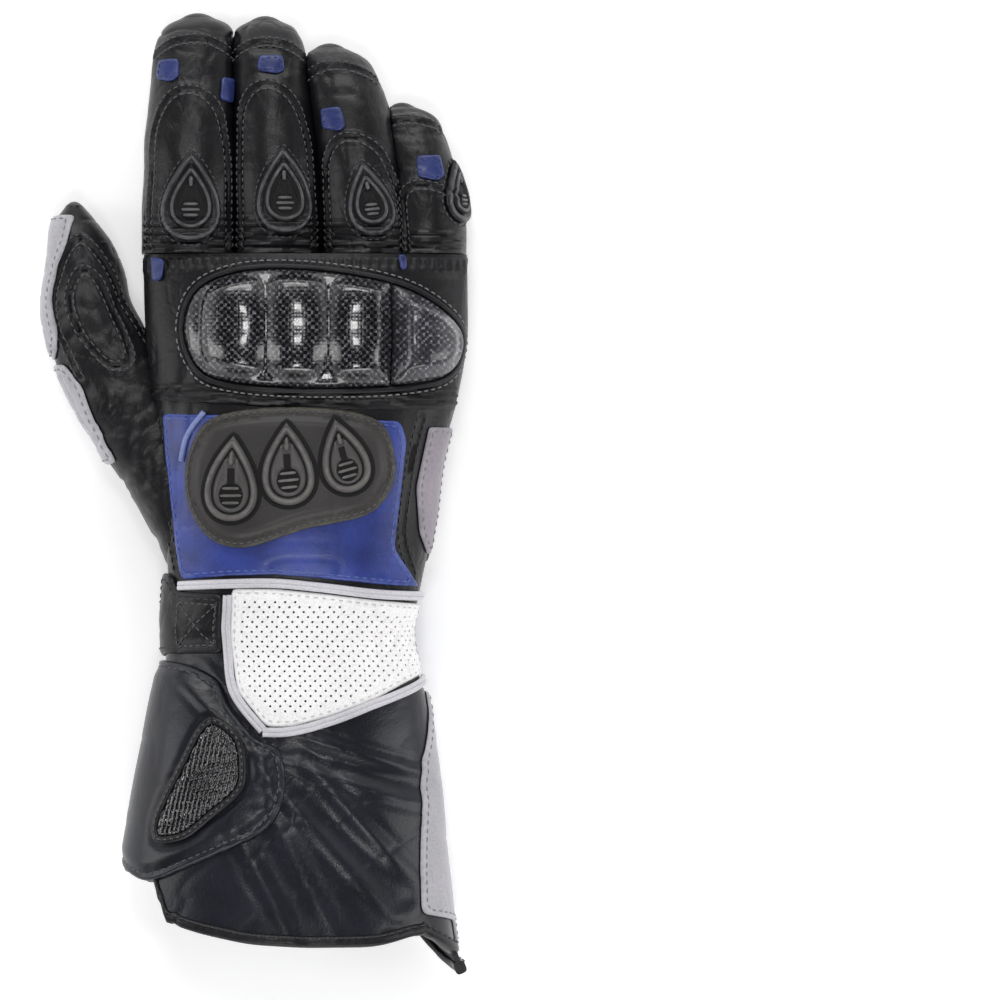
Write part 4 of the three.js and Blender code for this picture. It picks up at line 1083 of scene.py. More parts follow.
def start_material(name):
    material = bpy.data.materials.new(name)
    material.use_nodes = True
    tree = material.node_tree
    tree.nodes.clear()
    out = tree.nodes.new("ShaderNodeOutputMaterial")
    shader = tree.nodes.new("ShaderNodeBsdfPrincipled")
    tree.links.new(shader.outputs[0], out.inputs[0])
    where = add(tree, "ShaderNodeTexCoord").outputs["Object"]
    return material, tree, shader, where


def use_group(tree, source, links):
    node = tree.nodes.new("ShaderNodeGroup")
    node.node_tree = source
    for key, value in links.items():
        if isinstance(value, bpy.types.NodeSocket):
            tree.links.new(value, node.inputs[key])
        else:
            node.inputs[key].default_value = value
    return node


def leather(name, color, worn, roughness=0.42, scale=900.0, depth=0.00012, spread=0.25, wear=0.5,
            shine=0.2, variation=0.08, wrinkle=0.00022):
    """Dyed and finished leather with grain, patches and rubbed edges."""
    material, tree, shader, where = start_material(name)
    grain = use_group(tree, GRAIN, {"Vector": where, "Scale": scale})
    edge = add(tree, "ShaderNodeAttribute", attribute_name="edge")
    tone = use_group(tree, TONE, {
        "Color": (*color, 1), "Worn Color": (*worn, 1), "Vector": where,
        "Patches": grain.outputs["Patches"], "Pores": grain.outputs["Pores"],
        "Edge": edge.outputs["Fac"], "Spread": spread, "Wear": wear,
    })
    rough = math_node(tree, "MULTIPLY_ADD", grain.outputs["Patches"], variation, roughness - variation / 2)
    rough = math_node(tree, "MULTIPLY_ADD", tone.outputs["Wear"], 0.12, rough)
    wrinkles = use_group(tree, WRINKLES, {"Vector": where})
    folds = add(tree, "ShaderNodeBump", {"Height": wrinkles.outputs["Height"], "Distance": wrinkle, "Strength": 0.8})
    relief = add(tree, "ShaderNodeBump", {"Height": grain.outputs["Height"], "Distance": depth, "Strength": 0.7,
                                          "Normal": folds.outputs[0]})
    tree.links.new(tone.outputs["Color"], shader.inputs["Base Color"])
    tree.links.new(rough, shader.inputs["Roughness"])
    tree.links.new(relief.outputs[0], shader.inputs["Normal"])
    shader.inputs["Specular IOR Level"].default_value = 0.3
    shader.inputs["Coat Weight"].default_value = shine
    shader.inputs["Coat Roughness"].default_value = 0.28
    return material


BLACK = leather("black_leather", (0.005, 0.005, 0.0065), (0.034, 0.034, 0.040), 0.38, 1150.0, 0.00007, 0.3, 0.6, 0.12)
INK = leather("cuff_leather", (0.008, 0.009, 0.015), (0.045, 0.048, 0.066), 0.34, 1050.0, 0.00007, 0.35, 0.5, 0.24,
              wrinkle=0.00009)
BAND_BLACK = leather("soft_leather", (0.0045, 0.0045, 0.006), (0.034, 0.034, 0.039), 0.42, 1200.0, 0.00006, 0.3, 0.6,
                     0.1)
BLUE = leather("blue_leather", (0.030, 0.050, 0.25), (0.09, 0.14, 0.46), 0.36, 1300.0, 0.00005, 0.42, 0.8, 0.3)
ACCENT_BLUE = leather("accent_blue", (0.016, 0.026, 0.12), (0.06, 0.09, 0.30), 0.36, 1300.0, 0.00005, 0.3, 0.8, 0.3)
WHITE = leather("white_leather", (0.93, 0.92, 0.92), (0.74, 0.74, 0.76), 0.42, 1400.0, 0.00004, 0.03, 0.3, 0.15)
SILVER = leather("silver_leather", (0.40, 0.39, 0.42), (0.60, 0.59, 0.61), 0.38, 1300.0, 0.00005, 0.10, 0.6, 0.25)
MAUVE = leather("grey_side_leather", (0.27, 0.24, 0.28), (0.44, 0.42, 0.46), 0.40, 1300.0, 0.00005, 0.14, 0.6, 0.2)
POD = leather("pod_leather", (0.036, 0.033, 0.033), (0.13, 0.125, 0.085), 0.46, 1600.0, 0.00004, 0.22, 0.8, 0.1)
PIPING = leather("piping_silver", (0.62, 0.61, 0.65), (0.7, 0.7, 0.72), 0.30, 1600.0, 0.00002, 0.10, 0.0, 0.5)
RUBBER = leather("vent_rubber", (0.075, 0.070, 0.070), (0.15, 0.142, 0.135), 0.42, 2200.0, 0.00002, 0.2, 0.4, 0.15)
RIM = leather("vent_rim", (0.11, 0.105, 0.10), (0.20, 0.19, 0.18), 0.38, 1800.0, 0.00003, 0.2, 0.6, 0.2)
# Pale blue for the cord along the pod's upper left edge: partly the piping's own colour, partly a painted highlight
# along that edge.
BLUE_EDGE_HIGHLIGHT = leather("blue_piping_painted_highlight", (0.20, 0.25, 0.50), (0.4, 0.45, 0.6), 0.34, 1300.0, 0.00003, 0.1, 0.4, 0.4)
GREY_BAR = leather("grey_bar", (0.085, 0.085, 0.09), (0.16, 0.16, 0.17), 0.38, 1800.0, 0.00003, 0.2, 0.6, 0.2)
# Near-black, rough leather without coat: painted shade in the vents' grooves, slots and round foot, and also the black
# inside of the finger pods.
BLACK_AND_PAINTED_SHADE = leather("black_and_painted_shade", (0.002, 0.002, 0.003), (0.006, 0.006, 0.006), 0.6, 1500.0, 0.00003, 0.2, 0.2, 0.0)
# Dark grey rim leather, made lighter than the rims' own colour to paint in the sheen on their raised rolls.
POD_RIM_AND_SHEEN = leather("finger_rim_painted_sheen", (0.048, 0.048, 0.053), (0.14, 0.14, 0.15), 0.34, 1500.0, 0.00004, 0.3, 0.7, 0.3)


def thread(name, color):
    """Twisted sewing thread."""
    material, tree, shader, where = start_material(name)
    twist = add(tree, "ShaderNodeTexWave", {"Vector": where, "Scale": 900.0, "Distortion": 2.0})
    relief = add(tree, "ShaderNodeBump", {"Height": twist.outputs["Fac"], "Distance": 0.00006, "Strength": 0.6})
    tone = add(tree, "ShaderNodeMix", {"Factor": twist.outputs["Fac"], "A": (*[c * 0.75 for c in color], 1),
                                       "B": (*color, 1)}, data_type="RGBA")
    tree.links.new(tone.outputs["Result"], shader.inputs["Base Color"])
    tree.links.new(relief.outputs[0], shader.inputs["Normal"])
    shader.inputs["Roughness"].default_value = 0.55
    return material


BLACK_THREAD = thread("black_thread", (0.036, 0.036, 0.041))
GREY_THREAD = thread("grey_thread", (0.09, 0.09, 0.098))
PALE_THREAD = thread("pale_thread", (0.26, 0.26, 0.27))
BLUE_THREAD = thread("blue_thread", (0.10, 0.15, 0.46))
DARK_BLUE_THREAD = thread("dark_blue_thread", (0.03, 0.045, 0.16))
WHITE_THREAD = thread("white_thread", (0.62, 0.62, 0.64))


def carbon(name, dark, light, roughness, coat):
    """Lacquered woven fibre, with painted glints: random small squares of the lighter bundles made much lighter in the
    base colour.
    """
    material, tree, shader, where = start_material(name)
    weave = use_group(tree, WEAVE, {"Vector": where, "Pitch": 0.00125})
    patches = add(tree, "ShaderNodeTexNoise", {"Vector": where, "Scale": 90.0, "Detail": 2.0})
    # Painted glints: the lighter bundles' colour is scaled up in the random glint squares.
    painted_glint_gain = math_node(tree, "MULTIPLY_ADD", weave.outputs["Painted Glints"], 3.8, 0.5)
    bundle = add(tree, "ShaderNodeVectorMath", {0: light, "Scale": painted_glint_gain}, operation="SCALE")
    mixed = add(tree, "ShaderNodeMix", {"Factor": weave.outputs["Squares"], "A": (*dark, 1), "B": bundle.outputs[0]},
                data_type="RGBA")
    edge = add(tree, "ShaderNodeAttribute", attribute_name="edge")
    worn = add(tree, "ShaderNodeMix", {"Factor": math_node(tree, "MULTIPLY", edge.outputs["Fac"], 0.25),
                                       "A": mixed.outputs["Result"], "B": (0.05, 0.05, 0.055, 1)}, data_type="RGBA")
    relief = add(tree, "ShaderNodeBump", {"Height": weave.outputs["Height"], "Distance": 0.00008, "Strength": 0.35})
    tree.links.new(worn.outputs["Result"], shader.inputs["Base Color"])
    tree.links.new(relief.outputs[0], shader.inputs["Normal"])
    tree.links.new(math_node(tree, "MULTIPLY_ADD", patches.outputs["Fac"], 0.08, roughness), shader.inputs["Roughness"])
    shader.inputs["Coat Weight"].default_value = coat
    shader.inputs["Coat Roughness"].default_value = 0.07
    return material


# All three carry the painted glints of carbon().
CARBON = carbon("carbon", (0.001, 0.001, 0.002), (0.042, 0.042, 0.047), 0.15, 0.7)
CARBON_END = carbon("carbon_smoke", (0.010, 0.010, 0.013), (0.055, 0.052, 0.063), 0.3, 0.5)
BEADS = carbon("carbon_mesh", (0.004, 0.004, 0.005), (0.009, 0.009, 0.011), 0.10, 1.0)


# Leather walls of the hand, the gauntlet and the digits

HEM_BACK = [
    (-0.30, -0.77), (0.02, -0.775), (0.10, -0.80), (0.128, -0.87), (0.15, -0.925), (0.24, -0.955),
    (0.40, -0.99), (0.56, -1.0), (0.78, -1.0), (0.92, -0.96), (1.01, -1.05), (1.30, -1.05),
]
HEM_PALM = [
    (-0.30, -0.74), (0.04, -0.74), (0.18, -0.77), (0.33, -0.82), (0.48, -0.88), (0.64, -0.93), (0.83, -0.94),
    (0.91, -0.99), (0.96, -1.07), (1.01, -1.11), (1.30, -1.12),
]
HEM_WIDTH = 4
HEM_SOFTENING = 4


def hem_y(angles, hem):
    """Where the mouth's edge crosses each line along the gauntlet."""
    line = np.array([spot(*row) for row in hem])
    y = np.full(len(angles), -CUFF_LENGTH * 0.95)
    for _ in range(4):
        x = BODY.skin(angles, y)[:, 0]
        y = np.interp(x, line[:, 0], line[:, 1])
    window = 2 * HEM_SOFTENING + 1
    soft = np.convolve(np.pad(y, HEM_SOFTENING, mode="edge"), np.ones(window) / window, "valid")
    return soft + (y - soft) * smooth_step(0.5, 1.6, np.abs(soft - y))


BACK_ANGLES = (-math.pi / 2, math.pi / 2)
PALM_ANGLES = (math.pi / 2, 3 * math.pi / 2)
SEAM_ANGLE = 0.012
ANGLE_COUNT = int(110 / FINENESS)


def half_angles(limits):
    """Angles spread evenly over the girth of one half."""
    low, high = limits
    fine = np.linspace(low + SEAM_ANGLE, high - SEAM_ANGLE, 2000)
    w = BODY.girth_at(fine, np.zeros(2000))
    return np.interp(np.linspace(w[0], w[-1], ANGLE_COUNT), w, fine)


def body_half(name, limits, start, end, count):
    angles = half_angles(limits)
    rows = np.linspace(0, 1, int(count / FINENESS))
    first = start(angles)
    last = end(angles)
    grid = first[None, :] + (last - first)[None, :] * rows[:, None]
    return shell(name + "_leather", BODY, angles, grid, INK if name.startswith("cuff") else BLACK, name, THUMB)


def level(y):
    return lambda angles: np.full(len(angles), float(y))


def hem_start(hem):
    return lambda angles: hem_y(angles, hem) + HEM_WIDTH


body_half("hand_back", BACK_ANGLES, level(GAP / 2), level(HAND_LENGTH), 110)
body_half("hand_palm", PALM_ANGLES, level(GAP / 2), level(HAND_LENGTH), 110)
body_half("cuff_back", BACK_ANGLES, hem_start(HEM_BACK), level(-GAP / 2), 100)
body_half("cuff_palm", PALM_ANGLES, hem_start(HEM_PALM), level(-GAP / 2), 100)


def hem(name, limits, line):
    """A folded leather binding over the mouth's edge."""
    angles = half_angles(limits)
    edge = hem_y(angles, line)
    turn = np.arange(14) * 2 * math.pi / 14
    across = HEM_WIDTH / 2 * (1 - np.sign(np.cos(turn)) * np.abs(np.cos(turn)) ** 0.6)
    thick = (WALL + 2 * PANEL) / 2
    up = thick * np.sign(np.sin(turn)) * np.abs(np.sin(turn)) ** 0.6 - WALL / 2
    rings = []
    for angle, y in zip(angles, edge):
        rings.append(BODY.place(np.full(14, angle), y + across, up))
    rings = np.array(rings)
    piece = new_piece(name + "_binding", rings.reshape(-1, 3), tube_faces(len(angles), 14), BLACK, name,
                      TUBE_SHARP, 0.3)
    w = BODY.girth_at(angles, edge)
    stitches(name + "_stitches", BODY, [np.column_stack([w, edge + HEM_WIDTH * 0.8])], PANEL + 0.05,
             BLACK_THREAD, "black_leather")
    return piece


hem("hem_back", BACK_ANGLES, HEM_BACK)
hem("hem_palm", PALM_ANGLES, HEM_PALM)


def rows_to_tip(surface, start, step):
    """Places along a digit, closer together at its rounded tip."""
    straight = np.arange(start, surface.y[-1] - TIP_BULGE - 8, step * FINENESS)
    bend = np.linspace(straight[-1], surface.y[-TIP_ROWS - 1], int(14 / FINENESS) + 2)[1:]
    tip = surface.y[-TIP_ROWS:-1][::2]
    return np.concatenate([straight, bend, tip])


for _name in DIGITS:
    ring_shell(f"finger_{_name}_leather", FINGERS[_name], rows_to_tip(FINGERS[_name], HAND_LENGTH + GAP, 0.9),
               int(100 / FINENESS), f"finger_{_name}")
ring_shell("thumb_leather", THUMB, rows_to_tip(THUMB, THUMB.y[0], 1.1), int(110 / FINENESS), "thumb", BODY)


def beside(line, distance):
    """A line moved sideways."""
    run = np.gradient(line, axis=0)
    run /= np.linalg.norm(run, axis=1)[:, None]
    return line + np.column_stack([-run[:, 1], run[:, 0]]) * distance


for _name, _surface in [*FINGERS.items(), ("thumb", THUMB)]:
    _lines = [beside(line, side) for line in _surface.seams for side in (-1.5, 1.5)]
    stitches(f"{_name}_seam_stitches", _surface, _lines, 0.04, GREY_THREAD, "black_leather", pitch=2.5, length=1.7)
stitches("hand_seam_stitches", BODY, [beside(line, side) for line, _ in BODY_SEAMS for side in (-1.5, 1.5)], 0.1,
         BLACK_THREAD, "black_leather")


# Flat panels on the hand

def sided(rows):
    """Places (w, y) of an outline whose rows say the face: across, along, face."""
    places = [body_place(min(max(across, 0), 1), along, face) for across, along, face in rows]
    return resample(np.array(places), 1.2, closed=True)


def on_back(rows, corner=1.6):
    return soften(BODY.unroll(plan(rows)), corner)


def on_palm(rows, corner=1.6):
    return soften(BODY.unroll(plan(rows), "palm"), corner)


def seam(name, loop, distances, height, material, slot, surface=BODY, **sizes):
    lines = [run for distance in distances for run in seam_loop(loop, distance)]
    return stitches(name, surface, lines, height, material, slot, **sizes)


BAND = [(0, 0.992), (1, 0.992), (1, 0.585), (0.95, 0.585), (0.5, 0.587), (0, 0.612)]
band_loop = on_back(BAND, 0.8)
BAND_RIBS = ((0.603, 0.9), (0.622, 1.0), (0.641, 0.75))


def band_shape(flat, depth, height):
    """Ribs below the guard, pleats above it and padded rolls between."""
    share = flat[:, 1] / HAND_LENGTH
    wander = 0.004 * np.sin(flat[:, 0] / 9) + 0.003 * np.sin(flat[:, 0] / 4.3 + 1)
    for at, size in BAND_RIBS:
        height = height + size * (bump(share - at - wander, 0.0056) - 0.35)
    pleat = np.sin(flat[:, 0] * 2 * math.pi / 3.1 + 1.5 * np.sin(flat[:, 0] / 11))
    height = height + 0.28 * pleat * smooth_step(0.945, 0.97, share) * smooth_step(0.2, 1.2, depth)
    roll = bump(share - 0.955, 0.012) * 0.5
    return height + roll * smooth_step(0, 1.5, depth)


panel("knuckle_band_leather", BODY, band_loop, GAP, PANEL, BAND_BLACK, "knuckle_band",
      spacing=0.9, shape=band_shape)

BLUE_PANEL = [
    (0.045, 0.575), (0.83, 0.555), (0.865, 0.505), (0.87, 0.36), (0.87, 0.22), (0.985, 0.118), (0.85, 0.124),
    (0.61, 0.141), (0.43, 0.151), (0.25, 0.147), (0.065, 0.136), (0.045, 0.24), (0.04, 0.40),
]
blue_loop = on_back(BLUE_PANEL, 1.2)
panel("blue_panel_leather", BODY, blue_loop, GAP, PANEL, BLUE, "blue_panel", spacing=1.1)
seam("blue_panel_stitches", blue_loop, [1.6], GAP + PANEL, BLUE_THREAD, "blue_leather")

GREY_SIDE = [(0.93, 0.54), (1.0, 0.54), (1.0, 0.20), (0.955, 0.26), (0.925, 0.38)]
grey_loop = on_back(GREY_SIDE, 1.0)
panel("grey_side_panel_leather", BODY, grey_loop, GAP, PANEL, MAUVE, "grey_side_panel")
seam("grey_side_stitches", grey_loop, [1.4], GAP + PANEL, PALE_THREAD, "silver_leather")

WHITE_PANEL = [
    (0.268, 0.113), (0.43, 0.113), (0.61, 0.101), (0.85, 0.081), (0.998, 0.072), (0.998, -0.14), (0.985, -0.148),
    (0.81, -0.218), (0.655, -0.268), (0.51, -0.303), (0.418, -0.303), (0.303, -0.19), (0.275, -0.02),
]
white_loop = on_back(WHITE_PANEL, 1.4)
PERFORATION_PITCH = 3.4
PERFORATION_RADIUS = 0.42


def perforations(loop, margin):
    """Staggered rows of holes inside an outline."""
    low, high = loop.min(axis=0), loop.max(axis=0)
    places = []
    for row, y in enumerate(np.arange(low[1], high[1], PERFORATION_PITCH / 2)):
        shift = (row % 2) * PERFORATION_PITCH / 2
        for x in np.arange(low[0] + shift, high[0], PERFORATION_PITCH):
            places.append((x, y))
    places = np.array(places)
    away, _ = to_line(places, loop, closed=True)
    kept = places[inside(places, loop) & (away > margin)]
    return [(place, PERFORATION_RADIUS) for place in kept]


def white_shape(flat, depth, height):
    """Soft waves across the wrist, crumpled towards the little finger's side."""
    wave = np.sin(flat[:, 1] / 5.1 + 0.7 * np.sin(flat[:, 0] / 13)) * 0.22
    solid = np.column_stack([flat, np.zeros(len(flat))])
    crumple = smooth_step(-5, 35, flat[:, 0])
    lumps = 0.75 * creases(solid @ np.array([[0.9, -0.4, 0], [0.4, 0.5, 0], [0, 0, 1]]).T, 6.5, 41, 2.5)
    return height + (wave + 0.3 + crumple * (lumps + 0.4 * noise(solid, 9, 42))) * smooth_step(0.5, 4, depth)


panel("white_wrist_panel_leather", BODY, white_loop, GAP, PANEL, WHITE, "white_wrist_panel",
      spacing=1.15, holes=perforations(white_loop, 3.4), shape=white_shape)
seam("white_panel_stitches", white_loop, [1.5], GAP + PANEL * 0.95, WHITE_THREAD,
     "white_leather")


def double_piping(name, rows, node, radius=0.92):
    """Two cords side by side in one piece of piping."""
    line = body_line(rows)
    points = []
    faces = []
    for sign in (-1, 1):
        path, up = surface_path(BODY, resample(beside(line, sign * radius * 0.78), 0.8), GAP + radius)
        rings = sweep(path, up, circle(radius))
        start = sum(len(p) for p in points)
        faces += [tuple(v + start for v in f) for f in tube_faces(len(path), 10)]
        points.append(rings)
    points = np.vstack(points)
    return new_piece(name, points, faces, PIPING, node, TUBE_SHARP, 0)


double_piping("piping_blue_white_cord", [(0.062, 0.119), (0.25, 0.126), (0.43, 0.128), (0.61, 0.117),
                                         (0.85, 0.098), (1.0, 0.093)], "piping_blue_white")
double_piping("piping_side_cord", [(0.256, 0.096), (0.262, -0.02), (0.290, -0.19), (0.408, -0.316)],
              "piping_side")
double_piping("piping_bottom_cord", [(0.408, -0.321), (0.51, -0.318), (0.66, -0.282), (0.81, -0.232),
                                     (1.0, -0.158)], "piping_bottom")


# The hard guard over the knuckles

GUARD = [
    (0.135, 0.79), (0.175, 0.895), (0.30, 0.945), (0.62, 0.94), (0.85, 0.885), (0.965, 0.79), (0.95, 0.69),
    (0.84, 0.655), (0.30, 0.655), (0.18, 0.69),
]
GUARD_SPLIT = 0.765
DOMES = [(0.295, 0.795, 1.08, 1.0), (0.478, 0.80, 1.05, 1.06), (0.672, 0.795, 1.08, 1.04), (0.86, 0.775, 1.0, 0.92)]
split_w = body_place(GUARD_SPLIT, 0.79)[0]
guard_loop = body_curve(GUARD)
dome_spots = [body_place(row[0], row[1]) for row in DOMES]


def dome_field(flat):
    """Four rounded humps that run into one another."""
    total = np.zeros(len(flat))
    for centre, row in zip(dome_spots, DOMES):
        across = np.abs(flat[:, 0] - centre[0]) / (11.2 * row[2])
        along = np.abs(flat[:, 1] - centre[1]) / (20.5 * row[3])
        radius = across ** 2.1 + along ** 2.6
        saddle = 1 - 0.12 * bump(along, 0.26) * bump(across, 0.7)
        total += (np.clip(1 - radius, 0, 1) ** 0.75 * saddle) ** 6
    return total ** (1 / 6)


def guard_shape(flat, depth, height):
    edge = smooth_step(0.2, 5.5, depth)
    return height + ((DOME_RISE - 1.2) * dome_field(flat) + 1.2) * edge


def half_loop(loop, keep_low):
    """The part of an outline on one side of the split."""
    low = loop[:, 0] < split_w if keep_low else loop[:, 0] > split_w
    start = np.nonzero(low & ~np.roll(low, 1))[0][0]
    ordered = np.roll(loop, -start, axis=0)
    kept = ordered[np.roll(low, -start)]
    off = -GAP / 2 if keep_low else GAP / 2
    first, last = kept[0], kept[-1]
    return np.vstack([[[split_w + off, first[1]]], kept, [[split_w + off, last[1]]]])


panel("knuckle_guard_shell", BODY, soften(half_loop(guard_loop, True), 0.8), LAYER, PLATE_THICKNESS, CARBON,
      "knuckle_guard", spacing=0.85, edge=1.8, lip=0.3, shape=guard_shape, sharp=0)


def end_shape(flat, depth, height):
    """The end segment: a hump with a raised rounded frame at its side."""
    return guard_shape(flat, depth, height) + 0.5 * bump(depth - 1.8, 1.2)


panel("knuckle_guard_end_shell", BODY, soften(half_loop(guard_loop, False), 0.8), LAYER, PLATE_THICKNESS,
      CARBON_END, "knuckle_guard_end", spacing=0.85, edge=1.8, lip=0.3, shape=end_shape, sharp=0)


ROLL_OFFSET = 1.4
ROLL_RADIUS = 0.95
ring_tube("knuckle_guard_roll", BODY, grown_loop(guard_loop, ROLL_OFFSET), 1.0, GAP + PANEL + ROLL_RADIUS * 0.35,
          circle(ROLL_RADIUS, 10, 0.62), BAND_BLACK, 0.4)
guard_seam = grown_loop(guard_loop, 3.4)
stitches("knuckle_guard_stitches", BODY, [guard_seam], GAP + PANEL + 0.1, PALE_THREAD,
         "black_leather", pitch=2.5, length=1.7)


# The padded pod and its vents

POD_PAD = [
    (0.215, 0.562), (0.135, 0.478), (0.112, 0.386), (0.134, 0.301), (0.20, 0.24), (0.297, 0.221), (0.536, 0.270),
    (0.77, 0.315), (0.83, 0.38), (0.835, 0.45), (0.755, 0.555),
]
pod_loop = body_curve(POD_PAD)


def pod_shape(flat, depth, height):
    """A flat sewn border, then a soft cushion."""
    puff = smooth_step(2.6, 6.0, depth) * 0.95
    groove = -0.5 * bump(depth - 2.9, 0.7)
    return height * 0.8 + puff + groove


pod_piece = panel("pod_pad_cushion", BODY, pod_loop, LAYER, PAD_THICKNESS, POD, "pod_pad",
                  spacing=1.0, edge=1.5, shape=pod_shape)
seam("pod_pad_stitches", pod_loop, [1.5], LAYER + PAD_THICKNESS * 0.8, GREY_THREAD, "pod_leather", pitch=2.4,
     length=1.6)
# A pale blue cord along the pod's upper left edge; its pale colour is partly a painted highlight.
pod_curve = body_curve([(0.185, 0.578), (0.128, 0.52), (0.098, 0.45)], closed=False)
piping("pod_pad_piping", BODY, pod_curve, 1.0, BLUE_EDGE_HIGHLIGHT, None, base=GAP + PANEL - 0.5)


def teardrop(width, length, lean, steps=64, widest=0.77):
    turn = np.arange(steps) / steps * 2 * math.pi
    x = np.sin(turn) * np.sin(turn / 2) / widest * width / 2
    y = np.cos(turn) * length / 2
    c, s = math.cos(lean), math.sin(lean)
    return np.column_stack([x * c - y * s, x * s + y * c])


VENTS = [(0.279, 0.402, 1.03, 1.03, 0.0), (0.47, 0.44, 1.03, 1.0, 0.1), (0.657, 0.462, 0.92, 0.91, 0.3)]


def slot_cut(x, y, at_x, at_y, half_x, half_y, soft=0.28):
    """1 inside a rounded slot, 0 outside."""
    dx = np.abs(x - at_x) - half_x
    dy = np.abs(y - at_y) - half_y
    return smooth_step(soft, -soft, np.maximum(dx, dy))


def bar(name, surface, centre, lean, start, end, height, radius, material, squash=0.8):
    """A short rounded bar between two places given across and along a teardrop."""
    ends = centre + turned(np.array([start, end], float), lean)
    path, up = surface_path(surface, resample(ends, 0.5), height)
    taper = np.sqrt(np.clip(1 - np.linspace(-0.96, 0.96, len(path)) ** 6, 0.02, 1))
    rings = sweep(path, up, circle(radius, 8, squash)).reshape(len(path), 8, 3)
    rings = path[:, None, :] + (rings - path[:, None, :]) * taper[:, None, None]
    return new_piece(name, rings.reshape(-1, 3), tube_faces(len(path), 8), material, None, TUBE_SHARP, 0.7)


def vent(number, surface, centre, width, length, lean, base, thickness, node, parts, rim=0.62):
    """A teardrop with a raised rim, an upright slot above and bars across its round foot."""
    body_mat, rim_mat, bar_mat = parts
    outer = centre + teardrop(width, length, lean)
    foot_y = -0.20 * length

    def shape(flat, depth, height):
        x, y = turned(flat - centre, -lean).T
        valley = -0.55 * thickness * bump(depth - 2.6, 0.75)
        foot = slot_cut(np.hypot(x / 0.245 / width, (y - foot_y) / 0.165 / length), x * 0, 0, 0, 1, 1, 0.08)
        stem = slot_cut(x, y, 0, 0.10 * length, 0.085 * width, 0.17 * length, 0.4)
        return height + valley - 0.6 * thickness * np.maximum(foot, stem)

    panel(f"{number}_body", surface, outer, base, thickness, body_mat, node, spacing=0.5, edge=1.0, lip=0.3,
          shape=shape, sharp=0)
    fine = resample(outer, 0.6, closed=True)
    ring_tube(f"{number}_rim", surface, inset(fine, 1.25), 0.7, base + thickness * 0.92, circle(rim, 8, 0.8), rim_mat,
              0.8)
    # A thin near-black cord along the valley inside the rim: painted shade in the groove.
    ring_tube(f"{number}_valley", surface, inset(fine, 2.55), 0.7, base + thickness * 0.5, circle(0.42, 8, 0.7),
              BLACK_AND_PAINTED_SHADE, None)
    floor_height = base + thickness * 0.45
    turn = np.arange(28) / 28 * 2 * math.pi
    foot = np.column_stack([0.225 * width * np.cos(turn), foot_y + 0.15 * length * np.sin(turn)])
    slot_loop = np.array([(-1, 0.9), (-1, -1.3), (1, -1.3), (1, 0.9)]) * (0.075 * width, 0.10 * length)
    # Thin near-black sheets laid in the sunk foot and slot: painted shade in their hollows.
    for part, loop in (("foot", foot), ("slot", slot_loop + (0, 0.03 * length))):
        panel(f"{number}_{part}", surface, centre + turned(loop, lean), floor_height - 0.1, 0.16, BLACK_AND_PAINTED_SHADE, None,
              spacing=0.6, edge=0.2, sharp=0)
    bar(f"{number}_stem", surface, centre, lean, (0, 0.16 * length), (0, 0.30 * length), floor_height + 0.45, 0.66,
        bar_mat)
    for count, share in enumerate((-0.285, -0.20, -0.115)):
        reach = width * (0.20 if count == 1 else 0.155)
        bar(f"{number}_bar_{count + 1}", surface, centre, lean, (-reach, share * length), (reach, share * length),
            floor_height + 0.4, 0.48, bar_mat)


def groove_shade_border(name, surface, outer, grow, height, material):
    """A thin near-black border round a teardrop: painted shade of the groove round it."""
    loop = grown_loop(resample(outer, 0.6, closed=True), grow)
    return panel(name, surface, loop, height, 0.16, material, None, spacing=0.9, edge=0.3, sharp=0)


VENT_BASE = LAYER + PAD_THICKNESS + GAP
for _index, _row in enumerate(VENTS):
    _centre = body_place(_row[0], _row[1])
    _width, _length = _row[2] * VENT_WIDTH, _row[3] * VENT_LENGTH
    vent(f"vent_{_index + 1}", BODY, _centre, _width, _length, _row[4], VENT_BASE, VENT_THICKNESS,
         f"vent_{_index + 1}", (RUBBER, RIM, RIM))
    # A near-black border round each vent: painted shade of the groove round it.
    groove_shade_border(f"vent_{_index + 1}_groove", BODY, _centre + teardrop(_width, _length, _row[4]), 1.5,
               VENT_BASE + 0.1, BLACK_AND_PAINTED_SHADE)


# The wrist strap

STRAP = [
    (0.240, 0.098, "back"), (0.05, 0.106, "back"), (0.035, 0.145, "back"), (0.0, 0.155, "back"),
    (0.0, 0.075, "palm_left"),
    (0.5, 0.072, "palm_left"), (0.93, 0.07, "palm_left"), (0.93, -0.09, "palm_left"), (0.5, -0.09, "palm_left"),
    (0.0, -0.085, "palm_left"), (0.0, -0.075, "back"), (0.247, -0.07, "back"),
]
strap_loop = soften(sided(STRAP), 2.2)


def strap_shape(flat, depth, height):
    """A flat strap with a groove along its border seam."""
    groove = -0.25 * bump(depth - 2.0, 0.5) - 0.18 * bump(depth - 4.2, 0.5)
    return height + groove + 0.2 * smooth_step(2, 9, depth)


panel("wrist_strap_leather", BODY, strap_loop, GAP, STRAP_THICKNESS, BLACK, "wrist_strap",
      spacing=1.2, edge=1.2, shape=strap_shape)
strap_height = GAP + STRAP_THICKNESS - 0.05
seam("wrist_strap_stitches", strap_loop, [2.0], strap_height, BLACK_THREAD, "black_leather", pitch=2.6)
tab_corners = [body_place(*row) for row in ((0.07, 0.075), (0.215, 0.07), (0.215, -0.045), (0.07, -0.05))]
tab_lines = [np.array([tab_corners[i], tab_corners[(i + 1) % 4]]) for i in range(4)]
tab_lines += [np.array([tab_corners[0], tab_corners[2]]), np.array([tab_corners[1], tab_corners[3]])]
stitches("wrist_strap_box_stitches", BODY, tab_lines, strap_height + 0.22, GREY_THREAD, "black_leather",
         pitch=2.3, length=1.7)


# The gauntlet's closing flap and its insert

